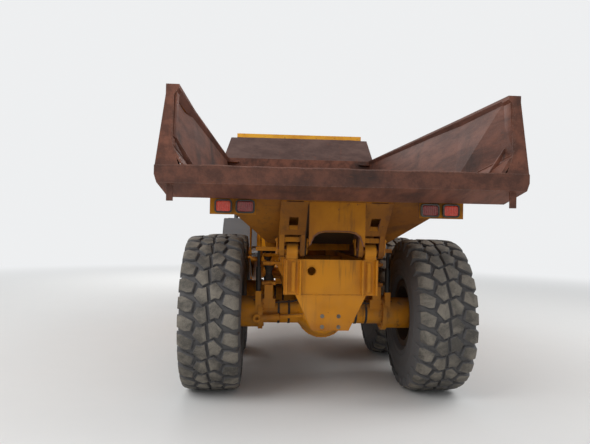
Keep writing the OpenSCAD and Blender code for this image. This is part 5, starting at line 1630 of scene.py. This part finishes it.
@dataclass
class Nose:
    """Headlamps, towing pin, bolts and tread plates of the bumper, and the trim of the fenders."""

    front: float = -4.85
    lamp_places: tuple = ((0.89, 0.945), (1.025, 0.945))

    def headlamps(self) -> None:
        """Replace the plain headlamps by bright shells and ribbed lenses."""
        shells, glass = [], []
        for x, z in self.lamp_places:
            shells.append(lathed([(0, 0), (0, 0.054), (0.03, 0.0595), (0.064, 0.0595), (0.068, 0.056), (0.066, 0.051),
                                  (0.058, 0.05), (0.03, 0.036), (0.012, 0)], (x, self.front + 0.08, z), (0, -1, 0),
                                 40))
            lens = Work.turned("lens", [(0.054, 0), (0.054, 0.0495), (0.06, 0.0495), (0.064, 0.04), (0.067, 0.02),
                                        (0.068, 0)], (x, self.front + 0.08, z), (0, -1, 0), 40)
            for k in range(-4, 5):
                lens.cut((x + 0.011 * k, 0, 0), (1, 0, 0))
            glass.append(lens.done())
        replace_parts(settle(pair("headlamp_shells", shells), "tractor", "dark_paint", Finish.SILVER), "headlamps")
        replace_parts(settle(pair("headlamp_lenses", glass), "tractor", "lamp_clear", Finish.CLEAR), "headlamps")

    def bumper_fittings(self) -> Piece:
        """Model the bumper's bolts, towing pin and raised tread plates."""
        spots = [moved(s * x, self.front, z) for s in (1, -1) for x in (0.25, 0.35) for z in (0.78, 0.94, 1.04)]
        heads = repeated(bolt("head", 0.019, 0.016, (0, -1, 0)), spots, "bumper_bolts")
        pin = dowel((0, self.front + 0.045, 0.715), (0, self.front + 0.045, 0.845), 0.02, 24, 0.002)
        plates = []
        for s in (1, -1):
            low, high = sorted((s * 0.48, s * 1.1))
            plates.append(slab((low, -4.83, 1.138), (high, -4.65, 1.146), 0.002))
        stud = slab((-0.018, -0.004, 0), (0.018, 0.004, 0.004), 0.0015)
        studs = repeated(stud,
                         [moved(s * (0.54 + 0.06 * k), -4.8 + 0.03 * j, 1.146)
                          @ Matrix.Rotation(math.radians(45 if (j + k) % 2 else -45), 4, "Z") for s in (1, -1)
                          for k in range(9) for j in range(5)], "studs")
        return joined([heads, pin, *plates, studs], "bumper_fittings")

    def fender_trim(self) -> Piece:
        """Model the fenders' rolled edges, ribs, bolts and flap clamps."""
        outline = [(-3.535, 1.29), (-3.46, 1.62), (-3.27, 1.907), (-2.11, 1.907), (-1.89, 1.69), (-1.69, 1.33)]
        edge = tube([(1.468, y, z - 0.012) for y, z in outline], 0.014, 0.06, 2)
        ribs = [slab((0.86, y - 0.03, 1.905), (1.4, y + 0.03, 1.918), 0.006) for y in (-2.75, -2.2)]
        heads = repeated(bolt("head", 0.013, 0.01, (0, 0, 1)),
                         [moved(0.81, y, 1.91) for y in (-3.22, -2.95, -2.68, -2.41, -2.16)], "heads")
        clamp = slab((0.86, -1.712, 1.25), (1.45, -1.7, 1.3), 0.003)
        return pair("fender_trim", [edge, *ribs, heads, clamp])

    def side_markers(self) -> Piece:
        """Model the amber direction lamps on the fronts of the fenders."""
        lamp = slab((1.3, -3.552, 1.42), (1.42, -3.49, 1.49), 0.012, 3)
        return both_sides(lamp, "direction_lamps")

    def step_rails(self) -> Piece:
        """Bend the two hand rails beside the steps, and the rail on the right fender."""
        rails = [tube([(x, -3.92, 1.385), (x, -3.92, 2.25), (x, -3.235, 2.45), (x, -3.235, 1.905)], 0.017, 0.12)
                 for x in (0.93, 1.312)]
        side = [tube(planar(0, -1.425, (-3.18, 1.9), (-3.18, 2.5), (-2.2, 2.5), (-2.2, 1.9)), 0.017, 0.1),
                tube([(-1.425, -3.18, 2.2), (-1.425, -2.2, 2.2)], 0.012)]
        feet = repeated(dowel((0, 0, 0), (0, 0, 0.012), 0.045, 24, 0.002),
                        [moved(x, y, 1.908)
                         for x, y in ((0.93, -3.235), (1.312, -3.235), (-1.425, -3.18), (-1.425, -2.2))], "feet")
        return joined([*rails, *side, feet], "hand_rails")

    def step_grips(self) -> Piece:
        """Model the toothed grips on the four treads."""
        tooth = cutout([(-0.016, -0.004, 0), (0.016, -0.004, 0), (0.01, 0.0, 0.007), (-0.01, 0.0, 0.007)],
                       (0, 0.008, 0), 0.0008, 1)
        return repeated(tooth, [moved(0.94 + 0.05 * k, -3.88 + 0.055 * j, z) for z in (0.505, 0.805, 1.105, 1.4)
                                for k in range(8) for j in range(5)], "step_grips")

    def tank_fittings(self) -> Piece:
        """Model the fuel tank's straps, filler cap and sight glass."""
        straps = [cutout([(-1.334, y, 0.757), (-1.263, y, 0.686), (-0.817, y, 0.686), (-0.756, y, 0.748),
                          (-0.756, y, 1.192), (-0.817, y, 1.254), (-1.263, y, 1.254), (-1.334, y, 1.183)],
                         (0, 0.045, 0), 0.0015, 1) for y in (-3.93, -3.69)]
        cap = lathed([(0, 0), (0, 0.062), (0.03, 0.062), (0.036, 0.056), (0.036, 0)], (-1.05, -3.79, 1.298),
                     (0, 0, 1), 28)
        grip = slab((-1.1, -3.797, 1.332), (-1.0, -3.783, 1.348), 0.003)
        sight = slab((-1.338, -3.83, 0.85), (-1.328, -3.8, 1.12), 0.004)
        return joined([*straps, cap, grip, sight], "tank_fittings")

    def build(self) -> None:
        """Build and dress the nose's pieces."""
        self.headlamps()
        settle(self.bumper_fittings(), "tractor", "yellow_paint", Finish.YELLOW)
        settle(self.fender_trim(), "tractor", "fender_plastic", Finish.FENDER)
        settle(self.side_markers(), "tractor", "lamp_red", Finish.AMBER)
        for piece in (self.step_rails(), self.step_grips(), self.tank_fittings()):
            settle(piece, "tractor", "dark_paint", Finish.DARK)


@dataclass
class Machinery:
    """What stands on the fenders and lies under the hood, and the tractor's running gear."""

    muffler: tuple = (-0.95, -3.09)
    cleaner: tuple = (-1.04, -2.49)

    def heat_shield(self) -> Piece:
        """Model the slatted shield, the clamps and the rain flap of the exhaust."""
        x, y = self.muffler
        slat = slab((-0.01, -0.128, 2.03), (0.01, -0.123, 2.6), 0.001, 1)
        slats = repeated(slat, around((x, y, 0), "Z", 26), "slats")
        bands = [band((x, y, z), (0, 0, 1), 0.016, 0.114, 0.131, 44) for z in (2.04, 2.31, 2.59)]
        flap = dowel((x, y + 0.012, 3.338), (x, y + 0.016, 3.344), 0.066, 32, 0.001, 1)
        arm = slab((x - 0.012, y + 0.05, 3.332), (x + 0.012, y + 0.1, 3.35), 0.002)
        clamp = band((x, y, 2.76), (0, 0, 1), 0.014, 0.0595, 0.066, 36)
        return joined([slats, *bands, flap, arm, clamp], "exhaust_shield")

    def cleaner_bands(self) -> Piece:
        """Model the air cleaner's straps, catches and slotted cap."""
        x, y = self.cleaner
        bands = [band((x, y, z), (0, 0, 1), 0.022, 0.164, 0.17, 48, 0.0015) for z in (2.0, 2.31)]
        fin = slab((-0.004, -0.128, 2.612), (0.004, -0.12, 2.692), 0.001, 1)
        fins = repeated(fin, around((x, y, 0), "Z", 30), "fins")
        catch = slab((-0.014, -0.182, 2.36), (0.014, -0.162, 2.43), 0.003)
        catches = repeated(catch, around((x, y, 0), "Z", 4, 0.4), "catches")
        return joined([*bands, fins, catches], "air_cleaner_bands")

    def mirror_glass(self) -> None:
        """Set glass into the mirrors, with a hood round it and clamps on the posts."""
        rim = Work.box("rim", (1.256, -3.166, 2.506), (1.454, -3.114, 2.924))
        rim = rim.pick(lambda c, n: n.y > 0.9).inset(0.012).extrude((0, -0.005, 0)).done(0.01, 3)
        clamps = [band((1.25, -3.17, z), (0, 0, 1), 0.016, 0.0165, 0.024, 24) for z in (2.0, 2.45, 2.87)]
        settle(pair("mirror_hoods", [rim, *clamps]), "tractor", "dark_paint", Finish.TRIM)
        glass = slab((1.27, -3.121, 2.52), (1.44, -3.1185, 2.91), 0.001, 1)
        settle(both_sides(glass, "mirror_panes"), "tractor", "rod_chrome", Finish.MIRROR)

    def core_fins(self) -> Piece:
        """Model the radiator's fins and its upper hose."""
        fin = slab((-0.0015, -4.462, 1.29), (0.0015, -4.444, 1.885))
        fins = repeated(fin, [moved(-0.465 + 0.0155 * k, 0, 0) for k in range(61)], "fins")
        bars = [slab((-0.48, -4.459, z), (0.48, -4.444, z + 0.006)) for z in (1.44, 1.59, 1.74)]
        hose = tube([(0.3, -4.372, 1.82), (0.3, -4.3, 1.82), (0.18, -4.27, 1.86), (0.12, -4.2, 1.9)], 0.032, 0.06)
        return joined([fins, *bars, hose], "radiator_fins")

    def engine_fittings(self) -> Piece:
        """Model the engine's covers, filters, manifold and ribs."""
        parts = [slab((-0.15, -4.22 + 0.12 * k, 1.876), (0.15, -4.125 + 0.12 * k, 1.955), 0.014, 3) for k in range(6)]
        parts += [lathed([(0, 0), (0, 0.05), (0.15, 0.05), (0.165, 0.04), (0.17, 0)], (0.292, y, 1.32), (0, 0, 1), 32)
                  for y in (-4.0, -3.86)]
        parts += [slab((0.235, y - 0.04, 1.475), (0.33, y + 0.04, 1.505), 0.004) for y in (-4.0, -3.86)]
        parts.append(tube([(-0.27, -4.2, 1.7), (-0.27, -3.6, 1.7)], 0.04))
        parts += [tube([(-0.235, y, 1.74), (-0.27, y, 1.7)], 0.03) for y in (-4.16, -4.04, -3.92, -3.8, -3.68)]
        parts += [slab((s * 0.247 - 0.009, -4.3 + 0.16 * k, 1.14), (s * 0.247 + 0.009, -4.28 + 0.16 * k, 1.6), 0.003)
                  for s in (1, -1) for k in range(5)]
        return joined(parts, "engine_fittings")

    def cylinder_fittings(self, start: Point, end: Point, reach: float, radius: float, name: str) -> Piece:
        """Model a cylinder's gland nut, its weld ring, its ports and the pipe along its barrel.

        Args:
            start: The middle of its base pin.
            end: The middle of its rod's eye.
            reach: How far from the base pin its barrel ends.
            radius: The barrel's radius.
            name: The piece's name.

        Returns:
            The fittings.
        """
        line = (Vector(end) - Vector(start)).normalized()
        out = Vector((0, 0, 1)).cross(line).normalized() if abs(line.z) < 0.2 else Vector((1, 0, 0))
        top = Vector(start) + line * (reach - 0.012)
        nut = lathed([(-0.02, radius * 0.8), (-0.02, radius * 1.16), (0.02, radius * 1.16), (0.03, radius * 1.0),
                      (0.03, radius * 0.8)], top, line, 12, 0.002, 1)
        ring = lathed([(-0.008, radius * 0.96), (0.0, radius * 1.05), (0.008, radius * 0.96)],
                      Vector(start) + line * reach * 0.24, line, 40)
        ports = []
        for share in (0.28, 0.93):
            foot = Vector(start) + line * reach * share
            ports.append(dowel(foot + out * radius * 0.9, foot + out * (radius + 0.03), 0.016, 20, 0.002, 1))
        a = Vector(start) + line * reach * 0.3 + out * (radius + 0.018)
        b = Vector(start) + line * reach * 0.93 + out * (radius + 0.018)
        pipe = tube([tuple(a), tuple(b)], 0.008)
        return joined([nut, ring, *ports, pipe], name)

    def cylinders(self) -> None:
        """Fit the steering and hoist cylinders on both sides."""
        kinds = (("steer", (0.36, -1.9, 0.87), (0.28, -1.05, 0.87), 0.545, 0.045),
                 ("hoist", (0.74, 0.0, 0.75), (0.74, 2.5, 1.42), 2.398, 0.0725))
        for kind, start, end, reach, radius in kinds:
            left = self.cylinder_fittings(start, end, reach, radius, f"{kind}_fittings_left")
            right = copy_to(left, MIRROR, f"{kind}_fittings_right")
            settle(left, f"{kind}_cylinder_left", "yellow_paint", Finish.AXLE)
            settle(right, f"{kind}_cylinder_right", "yellow_paint", Finish.AXLE)

    def pivot_caps(self) -> Piece:
        """Model the bolted caps over the two ends of the steering pivot's pin."""
        parts = []
        for z, way in ((1.309, 1), (0.701, -1)):
            parts.append(lathed([(0, 0), (0, 0.085), (0.012, 0.083), (0.018, 0.05), (0.018, 0)], (0, -1.23, z),
                                (0, 0, way), 40))
            parts.append(repeated(bolt("head", 0.011, 0.01, (0, 0, way)),
                                  [moved(0.067 * math.cos(k), -1.23 + 0.067 * math.sin(k), z + 0.012 * way)
                                   for k in (0.3, 1.87, 3.44, 5.01)], "cap_bolts"))
        return joined(parts, "pivot_caps")

    def hitch_bolts(self) -> Piece:
        """Model the ring of bolts on the disc that keeps the roll bearing together."""
        places = around((0, -0.378, 1.0), "Y", 12, 0.0, (0, 0, 0.15))
        return repeated(bolt("head", 0.014, 0.014, (0, 1, 0)), places, "hitch_bolts")

    def build(self) -> None:
        """Build and dress the machinery."""
        settle(self.heat_shield(), "tractor", "dark_paint", Finish.DARK)
        settle(self.cleaner_bands(), "tractor", "dark_paint", Finish.TRIM)
        self.mirror_glass()
        settle(self.core_fins(), "tractor", "dark_paint", Finish.DARK)
        settle(self.engine_fittings(), "tractor", "engine_iron", Finish.IRON)
        self.cylinders()
        settle(self.pivot_caps(), "tractor", "yellow_paint", Finish.AXLE)
        settle(self.hitch_bolts(), "yoke", "yellow_paint", Finish.BOLT)
        gear = RearChassis()
        axle = joined([*gear.flange(AXLES["front"]), gear.end_bolts(AXLES["front"])], "front_axle_bolts")
        settle(axle, "tractor", "yellow_paint", Finish.AXLE)
        settle(gear.brake_pipes(AXLES["front"]), "tractor", "dark_paint", Finish.DARK).name = "front_brake_pipes"


# Studio


@dataclass
class Studio:
    """Pale floor, soft lights and the photograph's camera."""

    eye: Point = (0.649, 9.059, 1.701)
    lens: float = 32.33
    sensor: float = 36.0
    yaw: float = 0.0591
    pitch: float = 0.014
    roll: float = 0.0197
    sky: float = 0.62
    backdrop: Colour = (0.9, 0.91, 0.92)
    backdrop_strength: float = 0.95
    fade_start: float = 6.5
    fade_end: float = 17.0

    def floor(self) -> None:
        """Lay the pale floor, whose far part the camera sees in the sky's colour, so that no horizon shows."""
        clear_selection()
        bpy.ops.mesh.primitive_circle_add(vertices=96, radius=90.0, fill_type="NGON")
        floor = Work("studio_floor").done()
        kit = Shader("studio_floor")
        grain = kit.noise(3.0, 4.0, 0.6)
        colour = kit.mix(grain * 0.25, tone(228, 227, 225), tone(218, 216, 213))
        near = kit.node("ShaderNodeBsdfDiffuse", {}, {"Color": colour})
        far = kit.node("ShaderNodeEmission", {}, {"Color": self.backdrop, "Strength": self.backdrop_strength})
        x, y, _ = kit.parts(kit.place())
        seen = kit.node("ShaderNodeLightPath", out="Is Camera Ray")
        fade = (x * x + y * y).between(self.fade_start ** 2, self.fade_end ** 2) * seen
        kit.node_end(kit.node("ShaderNodeMixShader", {}, {0: fade, 1: near, 2: far}))
        floor.data.materials.append(kit.material)

    def world(self) -> None:
        """Light the scene with an even sky that the camera, metal and glass see as near white."""
        kit = Shader("studio_sky", world=True)
        bpy.context.scene.world = kit.material
        glow = kit.node("ShaderNodeBackground", {}, {"Color": (0.94, 0.97, 1.0), "Strength": self.sky})
        seen = kit.node("ShaderNodeBackground", {}, {"Color": self.backdrop, "Strength": self.backdrop_strength})
        camera, glossy, through = (kit.node("ShaderNodeLightPath", out=f"Is {kind} Ray")
                                   for kind in ("Camera", "Glossy", "Transmission"))
        kit.node_end(kit.node("ShaderNodeMixShader", {}, {0: camera.most(glossy).most(through), 1: glow, 2: seen}))

    def lamp(self, name: str, place: Point, power: float, size: float) -> None:
        """Hang a broad soft lamp that points at the truck's middle."""
        light = bpy.data.lights.new(name, "AREA")
        light.energy = power
        light.size = size
        holder = bpy.data.objects.new(name, light)
        holder.location = place
        holder.rotation_euler = (Vector((0, 1.5, 1.2)) - Vector(place)).to_track_quat("-Z", "Y").to_euler()
        bpy.context.scene.collection.objects.link(holder)

    def camera(self) -> None:
        """Stand the camera where the photograph was taken."""
        view = bpy.data.cameras.new("photo_camera")
        view.lens = self.lens
        view.sensor_width = self.sensor
        view.clip_end = 400.0
        holder = bpy.data.objects.new("photo_camera", view)
        gaze = Vector((-math.sin(self.yaw), -math.cos(self.yaw), math.tan(self.pitch)))
        turn = gaze.to_track_quat("-Z", "Y").to_matrix() @ Matrix.Rotation(self.roll, 3, "Z")
        holder.matrix_world = Matrix.Translation(self.eye) @ turn.to_4x4()
        bpy.context.scene.collection.objects.link(holder)
        bpy.context.scene.camera = holder

    def build(self) -> None:
        """Set the studio up."""
        self.floor()
        self.world()
        self.lamp("soft_left", (7.5, 9.0, 8.5), 620.0, 7.0)
        self.lamp("soft_right", (-8.0, 3.0, 9.0), 420.0, 7.0)
        self.lamp("soft_front", (3.0, -11.0, 8.0), 520.0, 6.0)
        self.camera()
        bpy.context.scene.view_settings.view_transform = "Standard"


NODE_FINISHES = {
    Finish.YELLOW: ("rear_frame", "front_frame", "hitch", "bogie_beams", "hoist_barrel_left", "hoist_barrel_right",
                    "steer_barrel_left", "steer_barrel_right", "fuel_tank", "front_bumper"),
    Finish.AXLE: ("rear_axles", "front_axle"),
    Finish.RIM: tuple(f"rim_{wheel}" for wheel in WHEELS),
    Finish.CAB: ("hood", "platform", "cab_shell", "cab_door"),
    Finish.GUARD: ("spill_guard",),
    Finish.BODY: ("dump_body",),
    Finish.DARK: ("hood_grille", "radiator", "exhaust_stack", "air_cleaner", "mirrors", "ladder", "dampers",
                  "driveshafts"),
    Finish.IRON: ("engine",),
    Finish.FENDER: ("fenders",),
    Finish.FLAP: ("mudflaps", "rubber_springs"),
    Finish.TRIM: ("dash_console",),
    Finish.CLOTH: ("driver_seat",),
    Finish.GLASS: ("cab_glass", "cab_door_glass"),
    Finish.CHROME: ("steer_rod_left", "steer_rod_right", "hoist_rod_left", "hoist_rod_right"),
    Finish.CLEAR: ("headlamps",),
    Finish.RED: ("tail_lamps",),
    Finish.TYRE: tuple(f"tyre_{wheel}" for wheel in WHEELS),
}


def dress_nodes() -> None:
    """Give every CAD node its finish."""
    for finish, names in NODE_FINISHES.items():
        for name in names:
            paint(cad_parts[name], finish)
            LOG.info("%s takes %s", name, finish.value.name)


def main() -> None:
    """Dress the CAD nodes, build every sub-assembly in order and set up the studio."""
    logging.basicConfig(level=logging.INFO, format="%(name)s: %(message)s")
    dress_nodes()
    for part in (Wheels(Tyre(), WheelFittings()), HaulBody(), RearChassis(), Cab(), HoodDress(), Nose(), Machinery(),
                 Studio()):
        part.build()
        LOG.info("%s is built", type(part).__name__)


if __name__ == "__main__":
    main()
